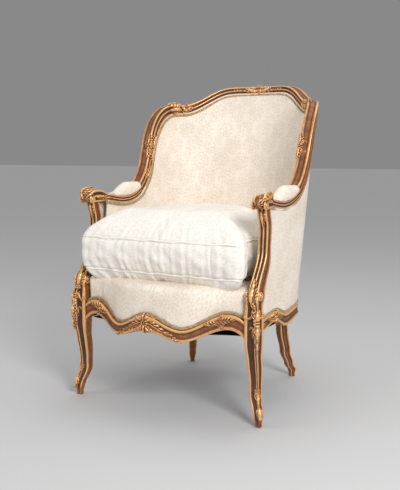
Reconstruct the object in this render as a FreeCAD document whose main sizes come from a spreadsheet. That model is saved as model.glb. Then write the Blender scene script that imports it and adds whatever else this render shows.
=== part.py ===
import FreeCAD, Part
import math
import os

import Sketcher
from FreeCAD import Vector

# A bergere: an armchair with a carved and gilded show frame, a raked back that is round in
# plan, stuffed sides and a loose boxed cushion. Millimetres, +X to the right as seen from the
# front, +Y to the back, +Z up, with the origin on the floor under the middle.
# The right-hand pieces are modelled and the left-hand ones are their mirror images.

doc = FreeCAD.newDocument("Bergere")
sheet = doc.addObject("Spreadsheet::Sheet", "Sizes")

# Driving dimensions
DIMENSIONS = [
    ("seat_level", 288, "top of the back seat rail, where the plan of the back is drawn"),
    ("crest_level", 980, "middle of the crest rail at its centre"),
    ("half_wide_low", 279, "half width of the back wall at the seat"),
    ("half_wide_top", 296, "half width of the back wall at the crest"),
    ("back_deep_low", 227, "depth of the round back at the seat"),
    ("back_deep_top", 268, "depth of the round back at the crest"),
    ("corner_radius", 165, "plan radius of the back's corners"),
    ("turn_start", -5, "where the straight side ends and the round back starts, at the seat"),
    ("rake", 9.3, "lean of the back wall, in degrees"),
    ("fit", 0.3, "clearance where soft pieces and housings meet their neighbours"),
    ("joint_gap", 0.1, "clearance of a tenon in its mortise"),
    ("leg_out", 295, "front leg axis from the middle"),
    ("leg_front", 290, "front leg axis forward of the middle"),
    ("leg_top", 335, "top of the front leg, under the arm support"),
    ("knee_half", 20.8, "half width of the front leg at the rails"),
    ("calf_half", 17, "half width of the front leg at its calf"),
    ("ankle_half", 13.7, "half width of the front leg at its ankle"),
    ("toe_half", 11.5, "half width of the scrolled toe"),
    ("foot_half", 7.8, "half width of the block under the toe"),
    ("toe_kick", 17, "how far the toe stands out from the leg axis"),
    ("ankle_set", 15, "how far the ankle stands back from the leg axis"),
    ("back_leg_turn", 33, "place of the back leg round the plan, in degrees from the middle"),
    ("back_leg_half", 15.5, "half width of the back leg at the rails"),
    ("back_toe_kick", 55, "how far the back foot stands out from the leg axis"),
    ("post_wide", 15, "half width of the hidden back post"),
    ("post_thick", 9, "half thickness of the hidden back post"),
    ("post_inset", -2, "middle of the hidden posts and rails, from the back wall"),
    ("hidden_rail_level", 398, "underside of the hidden rails above the seat"),
    ("hidden_rail_tall", 30, "height of the hidden rails"),
    ("block_level", 274, "underside of the corner blocks"),
    ("block_tall", 16, "height of the corner blocks"),
    ("rail_thick", 34, "thickness of the front seat rail"),
    ("rail_outside", 17, "outer face of the side and back seat rails, from the back wall"),
    ("rail_inside", -10, "inner face of the side and back seat rails, from the back wall"),
    ("bow_centre", 392, "front rail at its middle, forward of the middle of the chair"),
    ("bow_flank", 351, "front rail where its swell meets the flank"),
    ("bow_flank_half", 150, "half width of the front rail's swell"),
    ("bow_end", 306, "front rail at the legs, forward of the middle"),
    ("front_top_centre", 303, "upper edge of the front rail at its middle"),
    ("front_top_dip", 267, "upper edge of the front rail at its dips"),
    ("front_top_peak", 315, "upper edge of the front rail at its peaks"),
    ("front_top_end", 297, "upper edge of the front rail at the legs"),
    ("front_low_centre", 262, "lower edge of the front rail at its middle"),
    ("front_low_dip", 234, "lower edge of the front rail at its dips"),
    ("front_low_peak", 272, "lower edge of the front rail at its arches"),
    ("front_low_end", 248, "lower edge of the front rail at the legs"),
    ("dip_half", 108, "the front rail's dips, from the middle"),
    ("peak_half", 228, "the front rail's arches, from the middle"),
    ("side_peak_back", -140, "where the side rail rises highest"),
    ("side_dip_back", -58, "where the side rail dips"),
    ("side_level_back", 30, "where the side rail levels out"),
    ("side_top_end", 288, "upper edge of the side rail at the front leg"),
    ("side_top_peak", 301, "upper edge of the side rail at its peak"),
    ("side_top_dip", 281, "upper edge of the side rail at its dip"),
    ("side_top_back", 291, "upper edge of the side rail at the back"),
    ("side_low_end", 252, "lower edge of the side rail at the front leg"),
    ("side_low_peak", 272, "lower edge of the side rail at its arch"),
    ("side_low_dip", 243, "lower edge of the side rail at its dip"),
    ("side_low_back", 257, "lower edge of the side rail at the back"),
    ("back_low", 236, "lower edge of the back seat rail"),
    ("tenon_thick", 10, "thickness of the seat rail tenons"),
    ("tenon_long", 24, "length of the seat rail tenons"),
    ("tenon_tall", 24, "height of the seat rail tenons"),
    ("tenon_level", 270, "middle height of the seat rail tenons"),
    ("side_tenon_long", 14, "length of the side rail tenons in the front legs"),
    ("back_tenon_long", 11, "length of the rail tenons in the back legs"),
    ("back_tenon_away", 4, "middle of those tenons, from the back wall"),
    ("tongue_long", 24, "length of the loose tenons in the show frame's joints"),
    ("tongue_wide", 18, "width of the loose tenons"),
    ("tongue_thick", 8, "thickness of the loose tenons"),
    ("crest_wide", 25, "moulded width of the crest rail at its middle"),
    ("shoulder_wide", 31, "moulded width of the frame at the shoulders"),
    ("stile_wide", 36, "moulded width of the stiles"),
    ("frame_deep", 36, "depth of the crest rail and the stiles"),
    ("arm_high", 20, "height of the arm rail"),
    ("arm_wide", 36, "width of the arm rail"),
    ("edge_turn", 25, "where the crest starts to fall, in degrees round the back"),
    ("edge_drop", 5, "fall of the crest there"),
    ("fall_turn", 41, "where the crest falls most steeply"),
    ("fall_drop", 45, "fall of the crest there"),
    ("dip_turn", 53, "where the shoulder's leaf lies"),
    ("dip_drop", 67, "fall of the frame there"),
    ("shoulder_turn", 66, "where the shoulder is"),
    ("shoulder_drop", 72, "fall of the frame there"),
    ("stile_turn", 80, "where the stile begins"),
    ("stile_drop", 130, "fall of the frame there"),
    ("waist_back", 59, "where the stile starts to sweep forward"),
    ("waist_level", 708, "height of the stile there"),
    ("crest_joint", 318, "crest rail's end, along its line from the middle"),
    ("arm_joint", 2, "plane where the arm rail meets the stile"),
    ("arm_line", 284, "arm rail's line from the middle"),
    ("arm_joint_level", 643, "middle of the stile at that plane"),
    ("arm_dip_back", -83, "where the arm is lowest"),
    ("arm_dip_level", 618, "height of the arm's line there"),
    ("hand_level", 632, "height of the arm's line at the handhold"),
    ("hand_half", 21, "half width of the handhold's scroll"),
    ("hand_front", 276, "nose of the handhold, forward of the middle"),
    ("hand_high", 14, "top of the handhold above the arm's line"),
    ("hand_low", 24, "underside of the handhold below the arm's line"),
    ("support_top", 610, "top of the arm support"),
    ("head_tenon_tall", 12, "height of the tenon on top of the arm support"),
    ("support_sweep", 70, "how far the arm support sweeps back"),
    ("support_half", 14, "half width of the arm support"),
    ("volute_half", 24, "half depth of the volute at the support's foot"),
    ("deck_top", 386, "top of the stuffed seat"),
    ("deck_inset", 13, "front of the stuffed seat behind the front rail's face"),
    ("web_thick", 2, "thickness of a webbing strip"),
    ("web_level", 262, "underside of the seat webbing"),
    ("web_wide", 50, "width of a webbing strip"),
    ("cloth_thick", 1, "thickness of the hessian and the dust cover"),
    ("dust_level", 250, "underside of the dust cover"),
    ("pad_edge", -16, "face of the inside back at its edges, from the back wall"),
    ("arm_pad_face", -22, "face of the stuffing inside the arms, from the back wall"),
    ("pad_crown", 22, "how far the inside back swells beyond its edges"),
    ("pad_foot", 390, "lower edge of the inside stuffing"),
    ("arm_front", 228, "front of the stuffing inside the arms, forward of the middle"),
    ("seam_back", 10, "seam between the inside back and the inside arms"),
    ("panel_thick", 4, "thickness of the outside covers"),
    ("seam_turn", 62, "seam between the outside back and arm covers, in degrees"),
    ("arm_pad_reach", 131, "front of the arm pad, from the handhold's nose along the arm"),
    ("arm_pad_half", 20, "half width of the arm pad"),
    ("arm_pad_top", 669, "top of the arm pad"),
    ("cushion_foot", 386.3, "underside of the cushion"),
    ("cushion_low_seam", 412, "lower seam of the cushion"),
    ("cushion_top_seam", 510, "upper seam of the cushion"),
    ("cushion_top", 574, "crown of the cushion"),
    ("cushion_half", 258, "half width of the cushion between the arms"),
    ("cushion_wing", 286, "half width of the cushion in front of the arm supports"),
    ("cushion_front", 350, "front of the cushion, forward of the middle"),
    ("cushion_back", 212, "back of the cushion"),
    ("welt_high", 6, "height of the piping on the cushion's seams"),
    ("welt_proud", 5, "how far that piping stands out from the seam"),
    ("gimp_wide", 9, "width of the braid along the frame"),
    ("gimp_thick", 1.5, "thickness of the braid"),
]

for row, (alias, value, note) in enumerate(DIMENSIONS, start=1):
    sheet.set(f"A{row}", note)
    sheet.set(f"B{row}", str(value))
    sheet.setAlias(f"B{row}", alias)
doc.recompute()


def size(alias):
    """A driving dimension's value."""
    return float(sheet.get(alias))


def number(expression):
    """The value of an expression of driving dimensions."""
    return float(sheet.evalExpression(str(expression)))


def cell(alias):
    """A driving dimension's name as expressions write it."""
    return f"Sizes.{alias}"


# Helpers for bodies made of sketches
def new_body(name):
    body = doc.addObject("PartDesign::Body", name)
    body.Label = name
    return body


def new_sketch(body, name, plane, offset=0):
    """A sketch on one of the body's own planes, moved off it by an expression."""
    origin = {feature.Role: feature for feature in body.Origin.OriginFeatures}
    sketch = body.newObject("Sketcher::SketchObject", f"{body.Name}_{name}")
    sketch.AttachmentSupport = [(origin[plane], "")]
    sketch.MapMode = "FlatFace"
    sketch.setExpression("AttachmentOffset.Base.z", str(offset))
    return sketch


def draw_outline(sketch, corners, bends=None):
    """A closed outline through corners given as expressions. A bend turns the edge that starts
    at its corner into an arc of the given radius, to the left (1) or right (-1) of the edge."""
    bends = bends or {}
    points = [Vector(number(x), number(y), 0) for x, y in corners]
    edges = []
    for index, start in enumerate(points):
        end = points[(index + 1) % len(points)]
        shape = Part.LineSegment(start, end)
        if index in bends:
            radius, side = number(bends[index][0]), bends[index][1]
            chord = end - start
            rise = radius - math.sqrt(radius ** 2 - chord.Length ** 2 / 4)
            across = Vector(-chord.y, chord.x, 0).normalize()
            shape = Part.Arc(start, (start + end) * 0.5 + across * (side * rise), end)
        geometry = sketch.addGeometry(shape)
        begins = 1 if sketch.getPoint(geometry, 1).distanceToPoint(start) < 1e-6 else 2
        edges.append((geometry, begins))
    for index, (geometry, begins) in enumerate(edges):
        following, its_start = edges[(index + 1) % len(edges)]
        sketch.addConstraint(
            Sketcher.Constraint("Coincident", geometry, 3 - begins, following, its_start)
        )
        for kind, expression in zip(("DistanceX", "DistanceY"), corners[index]):
            place = Sketcher.Constraint(kind, -1, 1, geometry, begins, number(expression))
            bind_constraint(sketch, place, expression)
        if index in bends:
            radius = bends[index][0]
            bind_constraint(
                sketch, Sketcher.Constraint("Radius", geometry, number(radius)), radius
            )


def bind_constraint(sketch, constraint, expression):
    index = sketch.addConstraint(constraint)
    sketch.setExpression(f"Constraints[{index}]", str(expression))


def draw_rectangle(sketch, left, low, right, high):
    draw_outline(sketch, [(left, low), (right, low), (right, high), (left, high)])


def add_loft(body, sketches, name="Form"):
    loft = body.newObject("PartDesign::AdditiveLoft", f"{body.Name}_{name}")
    loft.Profile = sketches[0]
    loft.Sections = sketches[1:]
    loft.Ruled = False
    loft.Closed = False
    return loft


def add_pad(body, sketch, length, name, backwards=False):
    pad = body.newObject("PartDesign::Pad", f"{body.Name}_{name}")
    pad.Profile = sketch
    pad.setExpression("Length", str(length))
    pad.Reversed = backwards
    return pad


def add_pocket(body, sketch, length, name, backwards=False):
    """A pocket that is checked to cut something."""
    doc.recompute()
    before = body.Shape.Volume
    pocket = body.newObject("PartDesign::Pocket", f"{body.Name}_{name}")
    pocket.Profile = sketch
    pocket.setExpression("Length", str(length))
    pocket.Reversed = backwards
    doc.recompute()
    if body.Shape.Volume > before - 1:
        raise ValueError(f"{pocket.Name} cuts nothing")
    return pocket


def add_mirrored(name, source):
    """The left-hand twin of a right-hand piece."""
    twin = doc.addObject("Part::Mirroring", name)
    twin.Source = source
    twin.Normal = Vector(1, 0, 0)
    twin.Base = Vector(0, 0, 0)
    twin.Label = name
    return twin


def add_feature(name, shape):
    """A piece whose shape comes from the curves of the back wall."""
    feature = doc.addObject("Part::Feature", name)
    feature.Shape = shape
    feature.Label = name
    return feature


NODES = []


def keep(*pieces):
    NODES.extend(pieces)


def keep_pair(name, right):
    """The right-hand piece and its twin."""
    right.Label = f"{name}_right"
    keep(right, add_mirrored(f"{name}_left", right))


# The back wall: in plan a three-centred arch between straight sides, leaning back as it rises
LEAN = math.tan(math.radians(size("rake")))


def wall_plan(level, outward=0.0, swell=0.0):
    """Half width, corner radius, corner centre, rear radius and rear centre of the wall's plan
    at a level, for a line that lies outward of its middle and swells forward at the back."""
    share = (level - size("seat_level")) / (size("crest_level") - size("seat_level"))
    wide = size("half_wide_low") + share * (size("half_wide_top") - size("half_wide_low"))
    deep = size("back_deep_low") + share * (size("back_deep_top") - size("back_deep_low"))
    turn = size("turn_start") + LEAN * (level - size("seat_level"))
    wide = wide + outward
    deep = deep + outward - swell
    corner = size("corner_radius") + outward
    rear = (wide ** 2 - 2 * wide * corner + deep ** 2) / (2 * (deep - corner))
    return {
        "wide": wide,
        "corner": corner,
        "corner_centre": Vector(wide - corner, turn, level),
        "rear": rear,
        "rear_centre": Vector(0, turn + deep - rear, level),
    }


def change_turn(plan):
    """The turn, in degrees from the middle of the back, where the rear arc meets the corner."""
    between = plan["corner_centre"] - plan["rear_centre"]
    return math.degrees(math.atan2(between.x, between.y))


def wall_point(turn, level, outward=0.0, swell=0.0):
    """A point of the wall by its turn: 0 in the middle of the back, 90 where the side starts."""
    plan = wall_plan(level, outward, swell)
    side = math.copysign(1, turn)
    angle = math.radians(abs(turn))
    ray = Vector(math.sin(angle), math.cos(angle), 0)
    if abs(turn) <= change_turn(plan):
        point = plan["rear_centre"] + ray * plan["rear"]
    else:
        point = plan["corner_centre"] + ray * plan["corner"]
    return Vector(side * point.x, point.y, level)


def wall_outward(point):
    """The level direction that points out of the wall at a point on or near it."""
    plan = wall_plan(point.z)
    side = math.copysign(1, point.x)
    place = Vector(abs(point.x), point.y, point.z)
    if place.y < plan["corner_centre"].y:
        return Vector(side, 0, 0)
    away = place - plan["rear_centre"]
    if math.degrees(math.atan2(away.x, away.y)) > change_turn(plan):
        away = place - plan["corner_centre"]
    away.normalize()
    return Vector(side * away.x, away.y, 0)


def wall_line(level, outward, front, swell=0.0):
    """The wall's plan line from its left front to its right front: line, arcs and line."""
    plan = wall_plan(level, outward, swell)
    change = change_turn(plan)
    turns = [-90, -change, change, 90]
    edges = [Part.LineSegment(
        Vector(-plan["wide"], front, level), wall_point(turns[0], level, outward, swell)
    )]
    for first, last in zip(turns, turns[1:]):
        arc = [wall_point(turn, level, outward, swell) for turn in (first, (first + last) / 2, last)]
        edges.append(Part.Arc(*arc))
    edges.append(Part.LineSegment(
        wall_point(turns[-1], level, outward, swell), Vector(plan["wide"], front, level)
    ))
    return [edge.toShape() for edge in edges]


def wall_band(level, inner, outer, front, inner_swell=0.0, outer_swell=0.0):
    """A closed plan of the wall between two offsets, with square front ends."""
    inner_line = wall_line(level, inner, front, inner_swell)
    outer_line = wall_line(level, outer, front, outer_swell)
    ends = []
    for index in (0, -1):
        first = inner_line[index].Vertexes[index].Point
        second = outer_line[index].Vertexes[index].Point
        ends.append(Part.LineSegment(first, second).toShape())
    return Part.Wire(Part.__sortEdges__(inner_line + outer_line + ends))


def wall_solid(levels, inner, outer, front, inner_swells=None, outer_swells=None):
    """A length of the wall, lofted through its plans at the given levels."""
    none = [0.0] * len(levels)
    return solid_loft([
        wall_band(level, inner, outer, front, *swells)
        for level, *swells in zip(levels, inner_swells or none, outer_swells or none)
    ])


def solid_loft(rings):
    """A loft straight from ring to ring whose faces point outwards."""
    solid = Part.makeLoft(rings, True, True)
    if solid.Volume < 0:
        solid.reverse()
    return solid


def box_between(low, high):
    """A block between two opposite corners."""
    reach = high - low
    return Part.makeBox(reach.x, reach.y, reach.z, low)


FAR = 1000.0


def behind_plane(front):
    """Everything behind a plane across the chair."""
    return box_between(Vector(-FAR, front, -FAR), Vector(FAR, FAR, 2 * FAR))


def turn_wedge(first, last):
    """Everything on the right of the chair between two turns, for cutting the wall at seams."""
    centre = wall_plan(size("seat_level"))["rear_centre"]
    rays = [Vector(math.sin(math.radians(t)), math.cos(math.radians(t)), 0) for t in (first, last)]
    middle = Vector(centre.x, centre.y, 0)
    corners = [middle, middle + rays[0] * FAR, middle + (rays[0] + rays[1]) * FAR,
               middle + rays[1] * FAR, middle]
    return Part.Face(Part.makePolygon(corners)).extrude(Vector(0, 0, 2 * FAR))


# Front legs: cabriole legs, square to the rails, with a rib down the outer corner between
# hollowed faces, an ankle set back and a scrolled toe on a small block
LEG_SECTION = [(-1, -0.7), (-0.7, -1), (0.8, -1), (1, -0.75), (0.87, -0.05), (0.95, 0.6),
               (1, 1), (0.6, 0.95), (-0.05, 0.87), (-0.75, 1), (-1, 0.8)]


def leg_station(body, name, level, out, forward, half):
    sketch = new_sketch(body, name, "XY_Plane", level)
    corners = [(f"{out} + ({half}) * {across}", f"-({forward}) - ({half}) * {ahead}")
               for across, ahead in LEG_SECTION]
    draw_outline(sketch, corners)
    return sketch


def eased(level, keys):
    """A share that runs smoothly through (level, share) keys, level at each of them."""
    for (low, first), (high, last) in zip(keys, keys[1:]):
        if level <= high:
            step = max(0.0, (level - low) / (high - low))
            return round(first + (last - first) * step * step * (3 - 2 * step), 4)
    return keys[-1][1]


LEG_STATIONS = 14
LEG_KICK = [(0, 1.0), (24, 0.95), (92, 0.0)]
LEG_SET_BACK = [(24, 0.0), (92, 1.0), (120, 1.0), (240, 0.0)]
LEG_HALVES = ["foot_half", "toe_half", "ankle_half", "calf_half", "knee_half"]
LEG_LEVELS = [8, 34, 92, 190, 240]


def half_expression(level, levels, aliases):
    """A half width that runs smoothly through the named ones at their levels."""
    terms = []
    for index, alias in enumerate(aliases):
        keys = [(at, 1.0 if place == index else 0.0) for place, at in enumerate(levels)]
        share = eased(level, keys)
        if share:
            terms.append(f"{cell(alias)} * {share}")
    return " + ".join(terms)


def make_front_leg():
    leg = new_body("front_leg_right")
    out, ahead = cell("leg_out"), cell("leg_front")
    sketches = []
    for index in range(LEG_STATIONS + 1):
        share = index / LEG_STATIONS
        level = share * size("leg_top")
        kick = f"{cell('toe_kick')} * {eased(level, LEG_KICK)}"
        back = f"{cell('ankle_set')} * {eased(level, LEG_SET_BACK)}"
        half = half_expression(level, LEG_LEVELS, LEG_HALVES)
        sketches.append(leg_station(leg, f"Station{index}", f"{cell('leg_top')} * {share}",
                                    f"{out} + {kick}", f"{ahead} - {back}", half))
    add_loft(leg, sketches)
    cut_leg_mortises(leg)
    return leg


def cut_leg_mortises(leg):
    """Mortises for the front and side rails and for the arm support's tenon."""
    out, ahead, half = cell("leg_out"), cell("leg_front"), cell("knee_half")
    gap, thick = cell("joint_gap"), cell("tenon_thick")
    low = f"{cell('tenon_level')} - {cell('tenon_tall')} / 2 - {gap}"
    high = f"{cell('tenon_level')} + {cell('tenon_tall')} / 2 + {gap}"
    front = new_sketch(leg, "FrontMortise", "YZ_Plane", f"{out} - {half}")
    draw_rectangle(front, f"-{ahead} - {thick} / 2 - {gap}", low,
                   f"-{ahead} + {thick} / 2 + {gap}", high)
    add_pocket(leg, front, f"{cell('tenon_long')} + {gap}", "FrontRailMortise", backwards=True)
    side = new_sketch(leg, "SideMortise", "XZ_Plane", f"{ahead} - {half}")
    draw_rectangle(side, f"{out} - {thick} / 2 - {gap}", low,
                   f"{out} + {thick} / 2 + {gap}", high)
    add_pocket(leg, side, f"{cell('side_tenon_long')} + {gap}", "SideRailMortise", backwards=True)
    top = new_sketch(leg, "TopMortise", "XY_Plane", cell("leg_top"))
    draw_rectangle(top, f"{out} - {half} / 2 - {gap}", f"-{ahead} - {half} / 2 - {gap}",
                   f"{out} + {half} / 2 + {gap}", f"-{ahead} + {half} / 2 + {gap}")
    add_pocket(leg, top, f"12 + {gap}", "SupportMortise")


keep_pair("front_leg", make_front_leg())


# Front seat rail: bowed in plan, with both edges drawn as serpentines, tenoned into the legs
def serpentine(keys):
    """Corners and bends of a symmetrical wavy edge from left to right. Keys run from its middle
    to its end as (place, height), and the edge is level at every key but the last."""
    full = [(f"-({x})", z) for x, z in reversed(keys[1:])] + keys
    corners = [full[0]]
    bends = {}
    for index, ((x0, z0), (x1, z1)) in enumerate(zip(full, full[1:])):
        rises = number(z1) > number(z0)
        square = f"(({x1}) - ({x0}))^2 + (({z1}) - ({z0}))^2"
        if index in (0, len(full) - 2):
            bends[len(corners) - 1] = (f"({square}) / (2 * abs(({z1}) - ({z0})))", 1)
        else:
            radius = f"({square}) / (4 * abs(({z1}) - ({z0})))"
            bends[len(corners) - 1] = (radius, -1 if rises else 1)
            corners.append((f"(({x0}) + ({x1})) / 2", f"(({z0}) + ({z1})) / 2"))
            bends[len(corners) - 1] = (radius, 1 if rises else -1)
        corners.append((x1, z1))
    return corners, bends


def front_rail_end():
    return f"({cell('leg_out')} - {cell('knee_half')} - {cell('fit')})"


def front_edge(which, clearance=0):
    """Keys of the front rail's upper (top) or lower (low) edge."""
    return [("0", f"{cell(f'front_{which}_centre')} + {clearance}"),
            (cell("dip_half"), f"{cell(f'front_{which}_dip')} + {clearance}"),
            (cell("peak_half"), f"{cell(f'front_{which}_peak')} + {clearance}"),
            (front_rail_end(), f"{cell(f'front_{which}_end')} + {clearance}")]


def front_rail_plan():
    """The bowed plan: a swell in the middle and hollow flanks in front, a plainer line behind."""
    end, half = front_rail_end(), cell("bow_flank_half")
    rise = f"({cell('bow_centre')} - {cell('bow_flank')})"
    swell = f"({half}^2 + {rise}^2) / (2 * {rise})"
    reach, fall = f"({end} - {half})", f"({cell('bow_flank')} - {cell('bow_end')})"
    flank = (f"sqrt({reach}^2 + {fall}^2)"
             f" / (2 * sin(asin({half} / ({swell})) - atan({fall} / {reach})))")
    thick = cell("rail_thick")
    inner_end = f"-{cell('leg_front')} + {cell('knee_half')} * 0.7"
    corners = [(f"-{end}", f"-{cell('bow_end')}"), (f"-{half}", f"-{cell('bow_flank')}"),
               (half, f"-{cell('bow_flank')}"), (end, f"-{cell('bow_end')}"),
               (end, inner_end), (half, f"-{cell('bow_flank')} + {thick}"),
               (f"-{half}", f"-{cell('bow_flank')} + {thick}"), (f"-{end}", inner_end)]
    bends = {0: (flank, 1), 1: (swell, -1), 2: (flank, 1), 5: (swell, 1)}
    return corners, bends


def cut_wavy(body, keys, beyond, name):
    """Cut the body along a wavy edge seen from the front, up or down to a level beyond it."""
    corners, bends = serpentine(keys)
    past = f"({keys[-1][0]} + 5)"
    end_level = keys[-1][1]
    corners = corners + [(past, end_level), (past, beyond), (f"-{past}", beyond),
                         (f"-{past}", end_level)]
    sketch = new_sketch(body, name, "XZ_Plane", f"{cell('bow_centre')} + 20")
    draw_outline(sketch, corners, bends)
    add_pocket(body, sketch, "200", f"{name}Cut")


def make_front_rail():
    rail = new_body("front_seat_rail")
    low, high = f"({cell('front_low_dip')} - 2)", f"({cell('front_top_peak')} + 2)"
    plan = new_sketch(rail, "Plan", "XY_Plane", low)
    draw_outline(plan, *front_rail_plan())
    add_pad(rail, plan, f"{high} - {low}", "Band")
    cut_wavy(rail, front_edge("top"), f"{high} + 5", "UpperEdge")
    cut_wavy(rail, front_edge("low"), f"{low} - 5", "LowerEdge")
    for name, side in (("RightTenon", 1), ("LeftTenon", -1)):
        sketch = new_sketch(rail, name, "YZ_Plane", f"{side} * {front_rail_end()}")
        draw_rectangle(sketch, f"-{cell('leg_front')} - {cell('tenon_thick')} / 2",
                       f"{cell('tenon_level')} - {cell('tenon_tall')} / 2",
                       f"-{cell('leg_front')} + {cell('tenon_thick')} / 2",
                       f"{cell('tenon_level')} + {cell('tenon_tall')} / 2")
        add_pad(rail, sketch, cell("tenon_long"), f"{name}Pad", backwards=side < 0)
    return rail


keep(make_front_rail())


# Back legs: square legs that kick out and back to the floor, with the raked back posts that
# rise hidden inside the upholstery to the crest rail
def rear_arc(which):
    """Radius and centre of the wall's rear arc at the seat (low) or the crest (top)."""
    wide, deep, corner = cell(f"half_wide_{which}"), cell(f"back_deep_{which}"), cell("corner_radius")
    radius = f"(({wide}^2 - 2 * {wide} * {corner} + {deep}^2) / (2 * ({deep} - {corner})))"
    lean = f"tan({cell('rake')} * 1 deg) * ({cell('crest_level')} - {cell('seat_level')})"
    start = cell("turn_start") if which == "low" else f"({cell('turn_start')} + {lean})"
    return radius, f"({start} + {deep} - {radius})"


def turned(along, away, centre):
    """A plan point in the back leg's own directions, along the wall and away from its centre."""
    turn = f"({cell('back_leg_turn')} * 1 deg)"
    return (f"({along}) * cos({turn}) + ({away}) * sin({turn})",
            f"{centre} - ({along}) * sin({turn}) + ({away}) * cos({turn})")


BACK_LEG_STATIONS = 12
BACK_LEG_TOP = 300
BACK_LEG_INSET = 6
BACK_KICK = [(0, 1.0), (22, 1.0), (45, 0.76), (90, 0.48), (165, 0.24), (240, 0.03), (300, 0.0)]
BACK_HALVES = ["foot_half", "toe_half", "ankle_half", "back_leg_half"]
BACK_LEVELS = [8, 32, 90, 170]
BACK_SECTION = [(-1, -0.8), (-0.8, -1), (0.8, -1), (1, -0.8), (1, 0.8), (0.8, 1), (-0.8, 1),
                (-1, 0.8)]


def post_corners(level, extra="0"):
    """The hidden post's four corners at a level, with an extra clearance all round."""
    low_radius, low_centre = rear_arc("low")
    top_radius, top_centre = rear_arc("top")
    share = (f"((({level}) - {cell('seat_level')})"
             f" / ({cell('crest_level')} - {cell('seat_level')}))")
    radius = f"({low_radius} + ({top_radius} - {low_radius}) * {share})"
    centre = f"({low_centre} + ({top_centre} - {low_centre}) * {share})"
    wide, thick = f"({cell('post_wide')} + {extra})", f"({cell('post_thick')} + {extra})"
    return [turned(f"{across} * {wide}", f"{radius} + {cell('post_inset')} + {away} * {thick}", centre)
            for across, away in ((-1, -1), (1, -1), (1, 1), (-1, 1))]


def post_top():
    """The post ends inside the crest rail."""
    return f"({cell('crest_level')} - {cell('fall_drop')} / 2)"


def make_back_leg():
    leg = new_body("back_leg_right")
    radius, centre = rear_arc("low")
    sketches = []
    for index in range(BACK_LEG_STATIONS + 1):
        level = BACK_LEG_TOP * index / BACK_LEG_STATIONS
        half = half_expression(level, BACK_LEVELS, BACK_HALVES)
        kick = f"{cell('back_toe_kick')} * {eased(level, BACK_KICK)}"
        away = f"{radius} + {BACK_LEG_INSET} + {kick}"
        sketch = new_sketch(leg, f"Station{index}", "XY_Plane", str(level))
        draw_outline(sketch, [
            turned(f"({half}) * {across}", f"{away} + ({half}) * {ahead}", centre)
            for across, ahead in BACK_SECTION
        ])
        sketches.append(sketch)
    add_loft(leg, sketches)
    ends = []
    for name, level in (("PostFoot", str(BACK_LEG_TOP)), ("PostHead", post_top())):
        sketch = new_sketch(leg, name, "XY_Plane", level)
        draw_outline(sketch, post_corners(level))
        ends.append(sketch)
    add_loft(leg, ends, "Post")
    gap, half, thick = cell("joint_gap"), cell("back_leg_half"), cell("tenon_thick")
    for name, side in (("SideRail", 1), ("BackRail", -1)):
        sketch = new_sketch(leg, f"{name}Slot", "XY_Plane",
                            f"{cell('tenon_level')} + {cell('tenon_tall')} / 2 + {gap}")
        deep, out = f"({half} - {cell('back_tenon_long')} - {gap})", f"({half} + 2)"
        middle = f"{radius} + {cell('back_tenon_away')}"
        draw_outline(sketch, [
            turned(f"{side} * {first}", f"{middle} + {away} * ({thick} / 2 + {gap})", centre)
            for first, away in ((deep, -1), (out, -1), (out, 1), (deep, 1))
        ])
        add_pocket(leg, sketch, f"{cell('tenon_tall')} + 2 * {gap}", f"{name}Mortise")
    return leg


keep_pair("back_leg", make_back_leg())


# Side and back seat rails: sawn to the plan of the back, tenoned between the legs
def leg_frame_box(along, away, levels):
    """A block in the back leg's own directions: ranges along the wall, away from the rear
    centre and in height."""
    plan = wall_plan(size("seat_level"))
    block = Part.makeBox(along[1] - along[0], away[1] - away[0], levels[1] - levels[0],
                         Vector(along[0], away[0], levels[0]))
    block.rotate(Vector(0, 0, 0), Vector(0, 0, 1), -size("back_leg_turn"))
    block.translate(Vector(0, plan["rear_centre"].y, 0))
    return block


def wavy_face(keys, beyond, clearance=0.0):
    """A face seen from the side, between a wavy edge and a level beyond it. Keys are (place,
    height) from front to back, and the edge is level at every key but the first."""
    spots = [Vector(0, back, level + clearance) for back, level in keys]
    edges = []
    for index, (start, end) in enumerate(zip(spots, spots[1:])):
        run, rise = abs(end.y - start.y), end.z - start.z
        if abs(rise) < 1e-6:
            edges.append(Part.LineSegment(start, end).toShape())
            continue
        middle = (start + end) * 0.5
        if index == 0:
            radius = (run ** 2 + rise ** 2) / (2 * abs(rise))
            bulge = math.copysign(1, rise)
            edges.append(arc_edge(start, end, radius, bulge))
            continue
        radius = (run ** 2 + rise ** 2) / (4 * abs(rise))
        edges.append(arc_edge(start, middle, radius, -math.copysign(1, rise)))
        edges.append(arc_edge(middle, end, radius, math.copysign(1, rise)))
    corners = [spots[-1], Vector(0, spots[-1].y, beyond), Vector(0, spots[0].y - 50, beyond),
               Vector(0, spots[0].y - 50, spots[0].z), spots[0]]
    edges += [Part.LineSegment(a, b).toShape() for a, b in zip(corners, corners[1:])]
    return Part.Face(Part.Wire(Part.__sortEdges__(edges)))


def arc_edge(start, end, radius, up):
    """An arc seen from the side that bulges up (1) or down (-1)."""
    chord = end - start
    rise = radius - math.sqrt(radius ** 2 - chord.Length ** 2 / 4)
    across = Vector(0, -chord.z, chord.y).normalize()
    if across.z * up < 0:
        across = across * -1
    return Part.Arc(start, (start + end) * 0.5 + across * rise, end).toShape()


def side_keys(which):
    front = -size("leg_front") + size("knee_half") + size("fit")
    return [(front, size(f"side_{which}_end")), (size("side_peak_back"), size(f"side_{which}_peak")),
            (size("side_dip_back"), size(f"side_{which}_dip")),
            (size("side_level_back"), size(f"side_{which}_back")), (400, size(f"side_{which}_back"))]


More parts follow.
